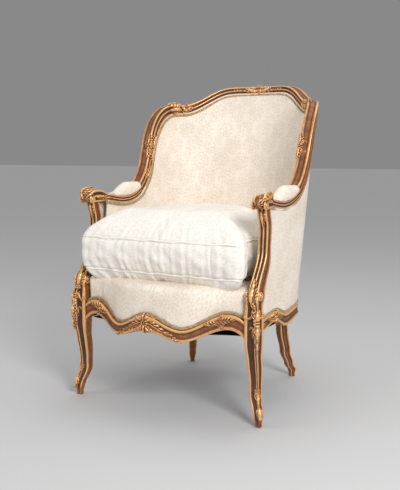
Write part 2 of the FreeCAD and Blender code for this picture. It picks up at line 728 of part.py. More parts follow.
def seat_band(low, high, front, inner=None, outer=None):
    """The seat rails' band in plan, raised between two levels."""
    inner = size("rail_inside") if inner is None else inner
    outer = size("rail_outside") if outer is None else outer
    plan = Part.Face(wall_band(size("seat_level"), inner, outer, front))
    plan.translate(Vector(0, 0, low - size("seat_level")))
    return plan.extrude(Vector(0, 0, high - low))


RIGHT_HALF = box_between(Vector(0, -FAR, -FAR), Vector(FAR, FAR, 2 * FAR))
SIDE_REACH = Vector(FAR, 0, 0)


def tenon_levels():
    return (size("tenon_level") - size("tenon_tall") / 2, size("tenon_level") + size("tenon_tall") / 2)


def back_tenon_away():
    middle = wall_plan(size("seat_level"))["rear"] + size("back_tenon_away")
    return (middle - size("tenon_thick") / 2, middle + size("tenon_thick") / 2)


def make_side_rail():
    front = -size("leg_front") + size("knee_half") + size("fit")
    half = size("back_leg_half") + size("fit")
    band = seat_band(size("side_low_dip") - 5, size("side_top_peak") + 5, front)
    rail = band.common(leg_frame_box((half, FAR), (-FAR, FAR), (0, FAR))).common(RIGHT_HALF)
    rail = rail.cut(wavy_face(side_keys("top"), size("side_top_peak") + 10).extrude(SIDE_REACH))
    rail = rail.cut(wavy_face(side_keys("low"), size("side_low_dip") - 10).extrude(SIDE_REACH))
    low, high = tenon_levels()
    thick, out = size("tenon_thick") / 2, size("leg_out")
    front_tenon = box_between(Vector(out - thick, front - size("side_tenon_long"), low),
                              Vector(out + thick, front + 1, high))
    back_tenon = leg_frame_box((half - size("back_tenon_long"), half + 1), back_tenon_away(),
                               (low, high))
    return rail.fuse([front_tenon, back_tenon]).removeSplitter()


def make_back_rail():
    half = size("back_leg_half") + size("fit")
    band = seat_band(size("back_low"), size("side_top_back"), 0)
    between = leg_frame_box((-FAR, -half), (0, FAR), (0, FAR))
    rail = band.common(between).common(between.mirror(Vector(0, 0, 0), Vector(1, 0, 0)))
    tenon = leg_frame_box((-half - 1, size("back_tenon_long") - half), back_tenon_away(),
                          tenon_levels())
    return rail.fuse([tenon, tenon.mirror(Vector(0, 0, 0), Vector(1, 0, 0))]).removeSplitter()


keep_pair("side_seat_rail", add_feature("side_seat_rail_right", make_side_rail()))
keep(add_feature("back_seat_rail", make_back_rail()))


# Arm supports: scrolled forward at the foot, swept back and then forward under the handhold
SUPPORT_STATIONS = 12
SUPPORT_SWEEP = [(0.0, 0.0), (0.56, 0.93), (0.8, 1.0), (1.0, 0.82)]
SUPPORT_DEEP = [(0.0, 0.5), (0.12, 1.0), (0.3, 0.85), (0.62, 0.0), (1.0, 0.15)]
SUPPORT_FLARE = [(0.0, 1.0), (0.3, 0.0), (0.85, 0.0), (1.0, 0.1)]


def support_station(share):
    """Level, axis back from the leg's axis and half sizes of the arm support at a share of its
    height, as expressions."""
    foot, top = cell("leg_top"), cell("support_top")
    level = f"({foot} + ({top} - {foot}) * {share})"
    back = f"({cell('support_sweep')} * {eased(share, SUPPORT_SWEEP)})"
    slim = f"({cell('support_half')} * 0.9)"
    deep = f"({slim} + ({cell('volute_half')} - {slim}) * {eased(share, SUPPORT_DEEP)})"
    wide = (f"({cell('support_half')} + ({cell('knee_half')} - {cell('support_half')})"
            f" * {eased(share, SUPPORT_FLARE)})")
    return level, back, wide, deep


def make_arm_support():
    support = new_body("arm_support_right")
    out, ahead = cell("leg_out"), cell("leg_front")
    sketches = []
    for index in range(SUPPORT_STATIONS + 1):
        level, back, wide, deep = support_station(index / SUPPORT_STATIONS)
        sketch = new_sketch(support, f"Station{index}", "XY_Plane", level)
        draw_outline(sketch, [
            (f"{out} + {wide} * {across}", f"{back} - {ahead} - {deep} * {along}")
            for across, along in LEG_SECTION
        ])
        sketches.append(sketch)
    add_loft(support, sketches)
    half = f"{cell('knee_half')} / 2"
    foot = new_sketch(support, "FootTenonPlan", "XY_Plane", cell("leg_top"))
    draw_rectangle(foot, f"{out} - {half}", f"-{ahead} - {half}",
                   f"{out} + {half}", f"-{ahead} + {half}")
    add_pad(support, foot, "12", "FootTenon", backwards=True)
    head = new_sketch(support, "HeadTenonPlan", "XY_Plane", cell("support_top"))
    draw_rectangle(head, *[str(value) for value in head_tenon_plan()])
    add_pad(support, head, cell("head_tenon_tall"), "HeadTenon")
    return support


def head_tenon_plan(extra="0"):
    """The tenon on top of the arm support: left, front, right and back."""
    back = support_station(1.0)[1]
    half = f"({cell('support_half')} * 0.5 + {extra})"
    return (f"{cell('leg_out')} - {half}", f"{back} - {cell('leg_front')} - {half}",
            f"{cell('leg_out')} + {half}", f"{back} - {cell('leg_front')} + {half}")


keep_pair("arm_support", make_arm_support())


# The show frame follows one line on the back wall: over the crest, round the shoulders, down
# the stiles and forward along the arms to the handholds
def frame_line():
    """The right half of that line, as points from the middle of the crest to the handhold."""
    crest = size("crest_level")
    points = [wall_point(0, crest), wall_point(size("edge_turn") / 2, crest)]
    for name in ("edge", "fall", "dip", "shoulder", "stile"):
        points.append(wall_point(size(f"{name}_turn"), crest - size(f"{name}_drop")))
    waist = wall_plan(size("waist_level"))["wide"]
    points.append(Vector(waist, size("waist_back"), size("waist_level")))
    arm, hand, level = size("arm_line"), size("leg_out"), size("hand_level")
    joint, dip = size("arm_joint_level"), size("arm_dip_level")
    nose = -size("hand_front")
    points += [
        Vector((waist + arm) / 2, size("arm_joint"), joint),
        Vector(arm, size("arm_dip_back") / 2, (joint + 3 * dip) / 4),
        Vector(arm, size("arm_dip_back"), dip),
        Vector(arm, (size("arm_dip_back") * 2 + nose) / 3, (dip * 2 + level) / 3),
        Vector((arm + hand) / 2, nose + 72, level - 1),
        Vector(hand, nose + 44, level),
        Vector(hand, nose + 20, level - 4),
        Vector(hand, nose, level - 14),
    ]
    return points


def mirrored_point(point):
    return Vector(-point.x, point.y, point.z)


RIGHT_LINE = frame_line()
FRAME_CURVE = Part.BSplineCurve()
FRAME_CURVE.interpolate([mirrored_point(point) for point in RIGHT_LINE[:0:-1]] + RIGHT_LINE)
HALF_LENGTH = FRAME_CURVE.length() / 2
MIDDLE = FRAME_CURVE.parameter(RIGHT_LINE[0])
JOINT_POINT = min(RIGHT_LINE, key=lambda point: abs(point.y - size("arm_joint")))
JOINT_PLACE = FRAME_CURVE.length(MIDDLE, FRAME_CURVE.parameter(JOINT_POINT))


def frame_station(distance):
    """Point, direction, outward and away directions of the frame at a distance along it from
    the middle of the crest, right positive. Away points from the upholstery to the rail's
    outer edge."""
    if distance:
        parameter = FRAME_CURVE.parameterAtDistance(distance, MIDDLE)
    else:
        parameter = MIDDLE
    point = FRAME_CURVE.value(parameter)
    along = FRAME_CURVE.tangent(parameter)[0]
    outward = wall_outward(point)
    outward = (outward - along * outward.dot(along)).normalize()
    return point, outward, along.cross(outward)


def frame_section(distance, corners):
    """A closed polygon of (outward, away) corners across the frame's line."""
    point, outward, away = frame_station(distance)
    spots = [point + outward * deep + away * wide for deep, wide in corners]
    return Part.makePolygon(spots + spots[:1])


def moulding(low, high, deep):
    """The frame's section between two edges: bead, hollow, rib, hollow and bead on its face."""
    half, wide, middle = deep / 2, high - low, (low + high) / 2
    bead, hollow = wide * 0.09, wide * 0.3
    return [(3 - half, low), (-half, low + bead), (hollow * 0.35 - half, low + hollow),
            (-half, middle), (hollow * 0.35 - half, high - hollow), (-half, high - bead),
            (4 - half, high), (half - 4, high), (half, high - 4), (half, low)]


def frame_width(distance):
    """Half the moulded width of the crest and stiles at a distance from the middle."""
    joint = size("crest_joint")
    keys = [(0, size("crest_wide") / 2), (joint * 0.6, size("crest_wide") / 2 + 1),
            (joint, size("shoulder_wide") / 2), (joint + 90, size("stile_wide") / 2)]
    return eased(abs(distance), keys)


def frame_places():
    """Places along the right half of the frame's line, closer together where it bends."""
    places = [0.0]
    for end in (size("crest_joint"), JOINT_PLACE, HALF_LENGTH - size("arm_pad_reach"), HALF_LENGTH):
        start, count = places[-1], round((end - places[-1]) / 3)
        last = frame_station(start)
        for index in range(1, count):
            place = start + (end - start) * index / count
            station = frame_station(place)
            turned_by = max(station[axis].getAngle(last[axis]) for axis in (1, 2))
            if turned_by > FRAME_BEND or place - places[-1] > FRAME_REACH:
                places.append(place)
                last = station
        places.append(end)
    return places


FRAME_BEND = math.radians(8)
FRAME_REACH = 36.0
RIGHT_PLACES = frame_places()
FRAME_PLACES = [-place for place in RIGHT_PLACES[:0:-1]] + RIGHT_PLACES


def frame_length(first, last, section):
    """A length of the frame lofted through its sections between two places."""
    return solid_loft([frame_section(place, section(place)) for place in FRAME_PLACES
                       if first <= place <= last])


def moulded_section(place):
    half = frame_width(place)
    return moulding(-half, half, size("frame_deep"))


def cylinder_between(start, end, radius):
    return Part.makeCylinder(radius, (end - start).Length, start, end - start)


def loose_tenon(place, middle_away, wide, extra):
    """A flat block let into both sides of the frame's joint at a place."""
    point, outward, away = frame_station(place)
    along = away.cross(outward)
    rings = []
    for end in (-1, 1):
        middle = point + away * middle_away + along * (end * (size("tongue_long") / 2 + extra))
        reach, thick = wide / 2 + extra, size("tongue_thick") / 2 + extra
        spots = [middle + away * (reach * across) + outward * (thick * over)
                 for across, over in ((-1, -1), (1, -1), (1, 1), (-1, 1))]
        rings.append(Part.makePolygon(spots + spots[:1]))
    return solid_loft(rings)


def shoulder_tenon(side, extra):
    """The block through the joint of crest rail and stile."""
    return loose_tenon(side * size("crest_joint"), 0, size("tongue_wide"), extra)


def arm_tenon(extra):
    """The block through the joint of the right-hand arm rail and stile."""
    middle = (size("arm_high") - size("stile_wide")) / 2
    return loose_tenon(JOINT_PLACE, middle, size("tongue_wide") * 0.7, extra)


def post_solid(extra):
    """The right-hand post between the seat and its end inside the crest rail."""
    rings = []
    for level in (number(f"{BACK_LEG_TOP}"), number(post_top()) + extra):
        spots = [Vector(number(x), number(y), level) for x, y in post_corners(str(level), str(extra))]
        rings.append(Part.makePolygon(spots + spots[:1]))
    return solid_loft(rings)


def mirrored(shape):
    return shape.mirror(Vector(0, 0, 0), Vector(1, 0, 0))


GAP = size("joint_gap")
POST_HOUSING = post_solid(GAP)


def make_crest_rail():
    joint = size("crest_joint")
    rail = frame_length(-joint, joint, moulded_section)
    holes = [POST_HOUSING, mirrored(POST_HOUSING)]
    return rail.cut(holes + [shoulder_tenon(side, GAP) for side in (-1, 1)])


def make_stile():
    joint = size("crest_joint")
    reach = HALF_LENGTH - 210
    stile = frame_length(joint, reach, moulded_section)
    stile = stile.common(behind_plane(size("arm_joint")))
    return stile.cut([shoulder_tenon(1, GAP), arm_tenon(GAP)])


def arm_edges(from_nose):
    """The arm rail's lower and upper edges, at a distance from the handhold's nose."""
    low_keys = [(0, -9), (14, -size("hand_low") * 0.8), (34, -size("hand_low")),
                (62, -size("hand_low")), (100, -size("stile_wide") / 2)]
    high_keys = [(0, 4), (14, size("hand_high") * 0.8), (34, size("hand_high")),
                 (62, size("hand_high")), (100, size("arm_high") - size("stile_wide") / 2)]
    return eased(from_nose, low_keys), eased(from_nose, high_keys)


def arm_section(place):
    """The arm rail is low under the pad and swells into the scrolled handhold."""
    from_nose = HALF_LENGTH - place
    deep_keys = [(0, size("hand_half") * 0.9), (20, size("hand_half") * 2),
                 (60, size("hand_half") * 2), (100, size("arm_wide"))]
    return moulding(*arm_edges(from_nose), eased(from_nose, deep_keys))


def make_arm_rail():
    rail = frame_length(HALF_LENGTH - 330, HALF_LENGTH, arm_section)
    rail = rail.cut(behind_plane(size("arm_joint")))
    left, front, right, back = [number(value) for value in head_tenon_plan(cell("joint_gap"))]
    top, margin = size("support_top"), 24
    seat = box_between(Vector(left - margin, front - margin, 0), Vector(right + margin, back + margin, top))
    mortise = box_between(Vector(left, front, top - 1),
                          Vector(right, back, top + size("head_tenon_tall") + GAP))
    return rail.cut([seat, mortise, arm_tenon(GAP)])


def make_loose_tenons():
    right = [shoulder_tenon(1, 0.0), arm_tenon(0.0)]
    return Part.makeCompound(right + [mirrored(block) for block in right])


keep(add_feature("crest_rail", make_crest_rail()))
keep_pair("back_stile", add_feature("back_stile_right", make_stile()))
keep_pair("arm_rail", add_feature("arm_rail_right", make_arm_rail()))
keep(add_feature("loose_tenons", make_loose_tenons()))


# Hidden rails: the tacking rails above the seat, from post to post and forward along the arms
HIDDEN_INNER = size("post_inset") - size("post_thick")
HIDDEN_OUTER = size("post_inset") + size("post_thick")


def support_back_edge(clearance):
    """The leg's and arm support's back edge seen from the side, from the floor upwards."""
    ahead = size("leg_front")
    spots = [Vector(0, size("knee_half") - ahead + clearance, 0),
             Vector(0, size("knee_half") - ahead + clearance, size("leg_top"))]
    count = 2 * SUPPORT_STATIONS
    for index in range(count + 1):
        level, back, _, deep = support_station(index / count)
        spots.append(Vector(0, number(back) - ahead + number(deep) + clearance, number(level)))
    return spots


def side_prism(spots):
    """Everything across the chair within an outline seen from the side."""
    face = Part.Face(Part.makePolygon(spots + spots[:1]))
    face.translate(Vector(-FAR, 0, 0))
    return face.extrude(Vector(2 * FAR, 0, 0))


def before_support(clearance):
    """Everything in front of the arm support's back edge."""
    edge = support_back_edge(clearance)
    return side_prism(edge + [Vector(0, edge[-1].y, FAR), Vector(0, -FAR, FAR), Vector(0, -FAR, 0)])


def make_hidden_rails():
    """The curved rail between the posts and the right-hand arm's tacking rail."""
    low = size("hidden_rail_level")
    ring = wall_solid([low, low + size("hidden_rail_tall")], HIDDEN_INNER, HIDDEN_OUTER, -400)
    turn = size("back_leg_turn")
    back = ring.common(turn_wedge(-turn, turn)).cut([POST_HOUSING, mirrored(POST_HOUSING)])
    side = ring.common(RIGHT_HALF).cut([turn_wedge(-turn, turn), POST_HOUSING])
    return back, side.cut(before_support(size("fit")))


LOWER_BACK_RAIL, ARM_TACK_RAIL = make_hidden_rails()
keep(add_feature("lower_back_rail", LOWER_BACK_RAIL))
keep_pair("arm_tack_rail", add_feature("arm_tack_rail_right", ARM_TACK_RAIL))


# Inside the seat frame: corner blocks, woven webbing, hessian and the black dust cover
def flat_edges(corners, bends):
    """Plan edges from the same corners and bends that a sketch takes."""
    spots = [Vector(number(x), number(y), 0) for x, y in corners]
    edges = []
    for index, (start, end) in enumerate(zip(spots, spots[1:])):
        if index not in bends:
            edges.append(Part.LineSegment(start, end).toShape())
            continue
        radius, side = number(bends[index][0]), bends[index][1]
        chord = end - start
        rise = radius - math.sqrt(radius ** 2 - chord.Length ** 2 / 4)
        across = Vector(-chord.y, chord.x, 0).normalize() * (side * rise)
        edges.append(Part.Arc(start, (start + end) * 0.5 + across, end).toShape())
    return edges


def front_line(inset, half):
    """The front rail's face in plan, set back, and as far as a half width."""
    corners, bends = front_rail_plan()
    edges = flat_edges(corners[:4], bends)
    for edge in edges:
        edge.translate(Vector(0, inset, 0))
    line = Part.Wire(edges)
    strip = box_between(Vector(-half, -FAR, -1), Vector(half, FAR, 1))
    return line.common(strip).Edges


def seat_plan(inset, outward):
    """A face between the front rail's line and the wall's line at an offset."""
    half = wall_plan(size("seat_level"), outward)["wide"]
    edges = front_line(inset, half)
    front = min((vertex.Point for edge in edges for vertex in edge.Vertexes), key=lambda p: p.x).y
    wall = [edge.translate(Vector(0, 0, -size("seat_level"))) or edge
            for edge in wall_line(size("seat_level"), outward, front)]
    return Part.Face(Part.Wire(Part.__sortEdges__(edges + wall)))


def raised(face, low, high):
    face = face.copy()
    face.translate(Vector(0, 0, low))
    return face.extrude(Vector(0, 0, high - low))


SEAT_WELL = seat_plan(size("rail_thick") + size("fit"), size("rail_inside") - size("fit"))


def corner_block_boxes(extra):
    """The corner blocks before they are fitted to the rails: front right and back right."""
    low, high = size("block_level") - extra, size("block_level") + size("block_tall") + extra
    out, ahead = size("leg_out"), size("leg_front")
    corners = [Vector(out, 115 - ahead + extra, low), Vector(out, -150 - ahead, low),
               Vector(out - 150 - extra, -150 - ahead, low),
               Vector(out - 150 - extra, -30 - ahead, low)]
    front = Part.Face(Part.makePolygon(corners + corners[:1])).extrude(Vector(0, 0, high - low))
    inner = wall_plan(size("seat_level"))["rear"] + size("rail_inside")
    back = leg_frame_box((-60 - extra, 60 + extra), (inner - 26 - extra, inner + 40), (low, high))
    return front, back


def leg_hollow():
    """Room for the back leg's head and the foot of its post."""
    half = size("back_leg_half") + HOLLOW_MARGIN
    middle = wall_plan(size("seat_level"))["rear"] + BACK_LEG_INSET
    return leg_frame_box((-half, half), (middle - half, middle + half),
                         (0, BACK_LEG_TOP + size("fit")))


HOLLOW_MARGIN = 2.0


def make_corner_blocks():
    well = raised(SEAT_WELL, 0, FAR)
    front, back = [block.common(well) for block in corner_block_boxes(0.0)]
    back = back.cut(leg_hollow())
    return Part.makeCompound([front, back, mirrored(front), mirrored(back)])


WEB_COUNT = 5
WEB_PITCH = 82


def make_webbing():
    """Strips from front to back with strips from side to side on them."""
    low, thick, half = size("web_level"), size("web_thick"), size("web_wide") / 2
    strips = []
    for index in range(WEB_COUNT):
        place = (index - (WEB_COUNT - 1) / 2) * WEB_PITCH
        long_strip = box_between(Vector(place - half, -FAR, low), Vector(place + half, FAR, low + thick))
        cross = box_between(Vector(-FAR, place - 80 - half, low + thick),
                            Vector(FAR, place - 80 + half, low + 2 * thick))
        strips += [long_strip, cross]
    well = raised(SEAT_WELL, 0, FAR)
    return Part.makeCompound([solid for strip in strips for solid in strip.common(well).Solids])


HESSIAN_LEVEL = size("web_level") + 2 * size("web_thick")
keep(add_feature("corner_blocks", make_corner_blocks()))
keep(add_feature("seat_webbing", make_webbing()))
keep(add_feature("seat_hessian",
                 raised(SEAT_WELL, HESSIAN_LEVEL, HESSIAN_LEVEL + size("cloth_thick"))))
keep(add_feature("dust_cover",
                 raised(SEAT_WELL, size("dust_level"), size("dust_level") + size("cloth_thick"))))


# The stuffed seat: fills the well on its hessian and swells over the rails up to the cushion
DECK_ROUND = 15.0
DECK_OUTWARD = -7.0


def below_front_edge(clearance):
    """Everything below the front rail's upper edge and as far back as its inner face."""
    corners, bends = serpentine(front_edge("top", clearance))
    spots = [Vector(number(x), number(y), 0) for x, y in (corners[-1], corners[0])]
    under = [spots[0], Vector(FAR, spots[0].y, 0), Vector(FAR, -FAR, 0), Vector(-FAR, -FAR, 0),
             Vector(-FAR, spots[1].y, 0), spots[1]]
    outline = flat_edges(corners, bends) + Part.makePolygon(under).Edges
    face = Part.Face(Part.Wire(Part.__sortEdges__(outline)))
    face.rotate(Vector(0, 0, 0), Vector(1, 0, 0), 90)
    face.translate(Vector(0, -FAR, 0))
    below = face.extrude(Vector(0, FAR, 0))
    behind = raised(seat_plan(size("rail_thick") + clearance, 200), -FAR, 2 * FAR)
    return below.cut(behind)


def make_deck():
    fit = size("fit")
    bottom = HESSIAN_LEVEL + size("cloth_thick") + fit
    deck = raised(seat_plan(size("deck_inset"), DECK_OUTWARD), bottom, size("deck_top"))
    rim = [edge for edge in deck.Edges if edge.CenterOfMass.y < -size("leg_front")
           and all(abs(vertex.Z - size("deck_top")) < 1e-6 for vertex in edge.Vertexes)]
    deck = deck.makeFillet(DECK_ROUND, rim)
    deck = deck.cut(below_front_edge(fit))
    ring = seat_band(0, FAR, -FAR, size("rail_inside") - fit, 200)
    ring = ring.common(behind_plane(-size("leg_front") - 5))
    under = wavy_face(side_keys("top"), -FAR, fit)
    under.translate(Vector(-FAR, 0, 0))
    deck = deck.cut(ring.common(under.extrude(Vector(2 * FAR, 0, 0))))
    blocks = [block.common(raised(seat_plan(0, 0), 0, FAR)) for block in corner_block_boxes(fit)]
    hollows = blocks + [leg_hollow(), post_solid(fit)]
    return deck.cut(hollows + [mirrored(hollow) for hollow in hollows])


keep(add_feature("seat_deck", make_deck()))

# The upholstered wall: stuffed inside back and inside arms, thin outside covers, all fitted
# between the show frame above and the seat below
PAD_BACK = HIDDEN_INNER - size("fit")


def inner_edge(place):
    """Where the show frame's inner edge lies across its line."""
    from_nose = HALF_LENGTH - abs(place)
    if from_nose > 100:
        return -frame_width(place)
    return arm_edges(from_nose)[0]


def frame_band(first_below, last_below):
    """A band across the wall that follows the frame's inner edge, between two distances below
    it. A negative distance lies above the edge."""
    rings = []
    for place in FRAME_PLACES:
        edge = inner_edge(place)
        rings.append(frame_section(place, [(-80, edge - last_below), (40, edge - last_below),
                                           (40, edge - first_below), (-80, edge - first_below)]))
    return solid_loft(rings)


def above_frame():
    """Everything above and in front of the frame's line, seen from the side."""
    spots = [frame_station(HALF_LENGTH * index / 40)[0] for index in range(41)]
    spots = [Vector(0, spot.y, spot.z) for spot in spots]
    first, last = spots[0], spots[-1]
    return side_prism(spots + [Vector(0, -FAR, last.z), Vector(0, -FAR, 2 * FAR),
                               Vector(0, FAR, 2 * FAR), Vector(0, FAR, first.z)])


ABOVE_FRAME = above_frame()
FRAME_CUT = frame_band(-30, size("fit"))
WALL_STRIPS = 6
PAD_FULL = 0.35
PAD_SWELLS = [size("pad_crown") * (1 - ((index / WALL_STRIPS - PAD_FULL) / (1 - PAD_FULL)) ** 2)
              for index in range(WALL_STRIPS + 1)]


def wall_levels(low):
    """Evenly spaced levels from the given one to just over the crest."""
    high = size("crest_level") + 12
    return [low + (high - low) * index / WALL_STRIPS for index in range(WALL_STRIPS + 1)]


def make_inside_back():
    """The inside back swells most a third of the way up and thins to the crest rail."""
    pad = wall_solid(wall_levels(size("pad_foot")), size("pad_edge"), PAD_BACK, 0, PAD_SWELLS)
    pad = pad.common(behind_plane(size("seam_back") + size("fit") / 2))
    return pad.cut([ABOVE_FRAME]).cut([FRAME_CUT])


def make_inside_arm():
    pad = wall_solid([size("pad_foot"), 700], size("arm_pad_face"), PAD_BACK, -size("arm_front"))
    pad = pad.common(RIGHT_HALF).cut(behind_plane(size("seam_back") - size("fit") / 2))
    return pad.cut([ABOVE_FRAME]).cut([FRAME_CUT])


def outside_wall(inner, outer, low=240.0):
    """The outside covers' wall between two offsets, fitted to frame, rails and supports."""
    fit = size("fit")
    wall = wall_solid(wall_levels(low), inner, outer, -size("leg_front"))
    under = wavy_face(side_keys("top"), -FAR, fit)
    under.translate(Vector(-FAR, 0, 0))
    wall = wall.cut([ABOVE_FRAME]).cut([FRAME_CUT])
    return wall.cut([under.extrude(Vector(2 * FAR, 0, 0)), before_support(3 * fit)])


def make_outside_covers():
    """The outside back and the right-hand outside arm."""
    inner = HIDDEN_OUTER + 4 * size("fit")
    wall = outside_wall(inner, inner + size("panel_thick"))
    half = size("back_leg_half") + HOLLOW_MARGIN
    heads = [leg_frame_box((-half, half), (0, FAR), (0, BACK_LEG_TOP + size("fit")))]
    wall = wall.cut(heads + [mirrored(head) for head in heads])
    turn = size("seam_turn")
    back = wall.common(turn_wedge(-turn, turn))
    side = wall.common(RIGHT_HALF).cut(turn_wedge(-turn - 0.05, turn + 0.05))
    return back, side


keep(add_feature("inside_back_pad", make_inside_back()))
keep_pair("inside_arm_pad", add_feature("inside_arm_pad_right", make_inside_arm()))
OUTSIDE_BACK, OUTSIDE_ARM = make_outside_covers()
keep(add_feature("outside_back_cover", OUTSIDE_BACK))
keep_pair("outside_arm_cover", add_feature("outside_arm_cover_right", OUTSIDE_ARM))


# Woven braid glued along every edge where the covers meet the carved frame
BRAID = frame_band(size("fit"), size("fit") + size("gimp_wide"))


def braid_shell(inner, outer, low, front, swells=None):
    """A skin over a cover, as thick as the braid, that follows the frame's inner edge."""
    return wall_solid(wall_levels(low), inner, outer, front, swells, swells).common(BRAID)


def make_inside_braid():
    """The braid round the inside back, and the braid along the inside of the right-hand arm."""
    fit, thick = size("fit"), size("gimp_thick")
    face, seam = size("pad_edge") - fit, size("seam_back")
    back = braid_shell(face - thick, face, size("pad_foot"), 0, PAD_SWELLS)
    back = back.common(behind_plane(seam + fit / 2))
    face = size("arm_pad_face") - fit
    arm = braid_shell(face - thick, face, size("pad_foot"), -size("arm_front"))
    arm = arm.common(RIGHT_HALF).cut(behind_plane(seam - fit / 2))
    return back, arm


def make_outside_braid():
    """The braid under the frame on the outside, and the braid above the right-hand seat rail."""
    fit, thick, wide = size("fit"), size("gimp_thick"), size("gimp_wide")
    face = HIDDEN_OUTER + size("panel_thick") + 5 * fit
    top = braid_shell(face, face + thick, 400, -size("leg_front")).cut(before_support(fit))
    skin = wall_solid([240, 400], face, face + thick, -size("leg_front")).common(RIGHT_HALF)
    strips = []
    for clearance in (fit, fit + wide):
        under = wavy_face(side_keys("top"), -FAR, clearance)
        strips.append(under.extrude(SIDE_REACH))
    low = skin.common(strips[1].cut(strips[0])).cut(before_support(fit))
    return top, low.cut(turn_wedge(-size("back_leg_turn") - 4, size("back_leg_turn") + 4))


def make_seat_braid():
    """The braid on the stuffed seat's front, above the carved rail."""
    fit, thick, wide = size("fit"), size("gimp_thick"), size("gimp_wide")
    outer, inner = [raised(seat_plan(size("deck_inset") - out, DECK_OUTWARD), 200, size("deck_top"))
                    for out in (fit + thick, fit)]
    skin = outer.cut(inner).cut(behind_plane(-size("leg_front") - size("knee_half") / 2))
    skin = skin.common(below_front_edge(fit + wide)).cut(below_front_edge(fit))
    ends = size("leg_out") - size("knee_half") - fit
    return skin.common(box_between(Vector(-ends, -FAR, 0), Vector(ends, FAR, FAR)))


INSIDE_BACK_BRAID, INSIDE_ARM_BRAID = make_inside_braid()
keep(add_feature("inside_back_braid", INSIDE_BACK_BRAID))
keep_pair("inside_arm_braid", add_feature("inside_arm_braid_right", INSIDE_ARM_BRAID))
OUTSIDE_BRAID, RAIL_BRAID = make_outside_braid()
keep(add_feature("outside_braid", OUTSIDE_BRAID))
keep_pair("side_rail_braid", add_feature("side_rail_braid_right", RAIL_BRAID))
keep(add_feature("seat_front_braid", make_seat_braid()))


# Arm pads: small stuffed pads on the arm rails between the handholds and the stiles
ARM_PAD_LIP = 9.0


def arm_pad_ring(place):
    point, outward, away = frame_station(place)
    half, seat = size("arm_pad_half"), arm_edges(HALF_LENGTH - place)[1] + size("fit")
    front = size("arm_pad_reach") - size("hand_front")
    keys = [(front, point.z + seat + ARM_PAD_LIP), (front / 2, size("arm_pad_top") - 3),
            (0, size("arm_pad_top"))]
    tall = max(ARM_PAD_LIP, eased(point.y, keys) - point.z - seat)
    spots = [point + outward * deep + away * (seat + rise) for deep, rise in
             ((-half, 0), (half, 0), (half, tall * 0.45), (0, tall), (-half, tall * 0.45))]
    crown = Part.Arc(spots[2], spots[3], spots[4]).toShape()
    sides = [Part.LineSegment(*pair).toShape() for pair in
             ((spots[0], spots[1]), (spots[1], spots[2]), (spots[4], spots[0]))]
    return Part.Wire(Part.__sortEdges__(sides + [crown]))


def make_arm_pad():
    """The pad runs from its front to the joint with the stile, where it is cut off."""
    first, last = HALF_LENGTH - 330, HALF_LENGTH - size("arm_pad_reach")
    rings = [arm_pad_ring(place) for place in RIGHT_PLACES if first < place <= last]
    return solid_loft(rings).cut(behind_plane(size("arm_joint") - size("fit")))


keep_pair("arm_pad", add_feature("arm_pad_right", make_arm_pad()))


# The loose cushion: boxed, with a crown above its upper seam and wings in front of the arms
CUSHION_MIDDLE = -70.0
CUSHION_LEVELS = [("cushion_foot", 0, 0.92), ("cushion_low_seam", 0, 0.985),
                  ("cushion_low_seam", 28, 0.998), ("cushion_top_seam", -28, 0.998),
                  ("cushion_top_seam", 0, 0.985), ("cushion_top", -38, 0.92),
                  ("cushion_top", -17, 0.79), ("cushion_top", -5, 0.6), ("cushion_top", 0, 0.35)]
SEAM_SCALE = 0.985
WING_BACK = 306.0
WAIST_BACK = 276.0
WING_ROUND = 24.0


def cushion_outline(level, scale):
    """The cushion's plan at a level: arched behind, waisted between the arms, winged in front."""
    half, wing, front, back = [size(f"cushion_{name}") for name in ("half", "wing", "front", "back")]
    plan = wall_plan(level)
    turn = plan["corner_centre"].y
    corner = size("corner_radius") - 25
    deep = back - turn
    rear = (half ** 2 - 2 * half * corner + deep ** 2) / (2 * (deep - corner))
    centre = back - rear
    change = math.atan2(half - corner, turn - centre)
    arcs = []
    for around, radius, first, last in (((0, centre), rear, -change, change),
                                        ((half - corner, turn), corner, change, math.pi / 2)):
        arcs.append([Vector(around[0] + radius * math.sin(angle),
                            around[1] + radius * math.cos(angle), level)
                     for angle in (first, (first + last) / 2, last)])
    waist, shoulder = Vector(half, -WAIST_BACK, level), Vector(wing, -WING_BACK, level)
    side = [
        Part.Arc(*arcs[1]),
        Part.LineSegment(arcs[1][-1], waist),
        Part.LineSegment(waist, shoulder),
        Part.LineSegment(shoulder, Vector(wing, WING_ROUND - front, level)),
        Part.Arc(Vector(wing, WING_ROUND - front, level),
                 Vector(wing - WING_ROUND * 0.3, WING_ROUND * 0.3 - front, level),
                 Vector(wing - WING_ROUND, -front, level)),
    ]
    right = [edge.toShape() for edge in side]
    front_edge_line = Part.LineSegment(Vector(wing - WING_ROUND, -front, level),
                                       Vector(WING_ROUND - wing, -front, level)).toShape()
    edges = [Part.Arc(*arcs[0]).toShape()] + right + [front_edge_line]
    edges += [mirrored(edge) for edge in reversed(right)]
    outline = Part.Wire(Part.__sortEdges__(edges))
    outline.scale(scale, Vector(0, CUSHION_MIDDLE, level))
    return outline


def make_cushion():
    turn_level = size("cushion_foot")
    rings = []
    for alias, above, scale in CUSHION_LEVELS:
        ring = cushion_outline(turn_level, scale)
        ring.translate(Vector(0, 0, size(alias) + above - turn_level))
        rings.append(ring)
    return solid_loft(rings)


def make_welt(alias):
    """A ring of piping on one of the cushion's seams."""
    level, high = size("cushion_foot"), size("welt_high")
    seam = cushion_outline(level, SEAM_SCALE)
    inner, outer = [Part.Face(seam.makeOffset2D(out)) for out in (size("fit") * 2, size("welt_proud"))]
    ring = outer.cut(inner)
    ring.translate(Vector(0, 0, size(alias) - high / 2 - level))
    return ring.extrude(Vector(0, 0, high))


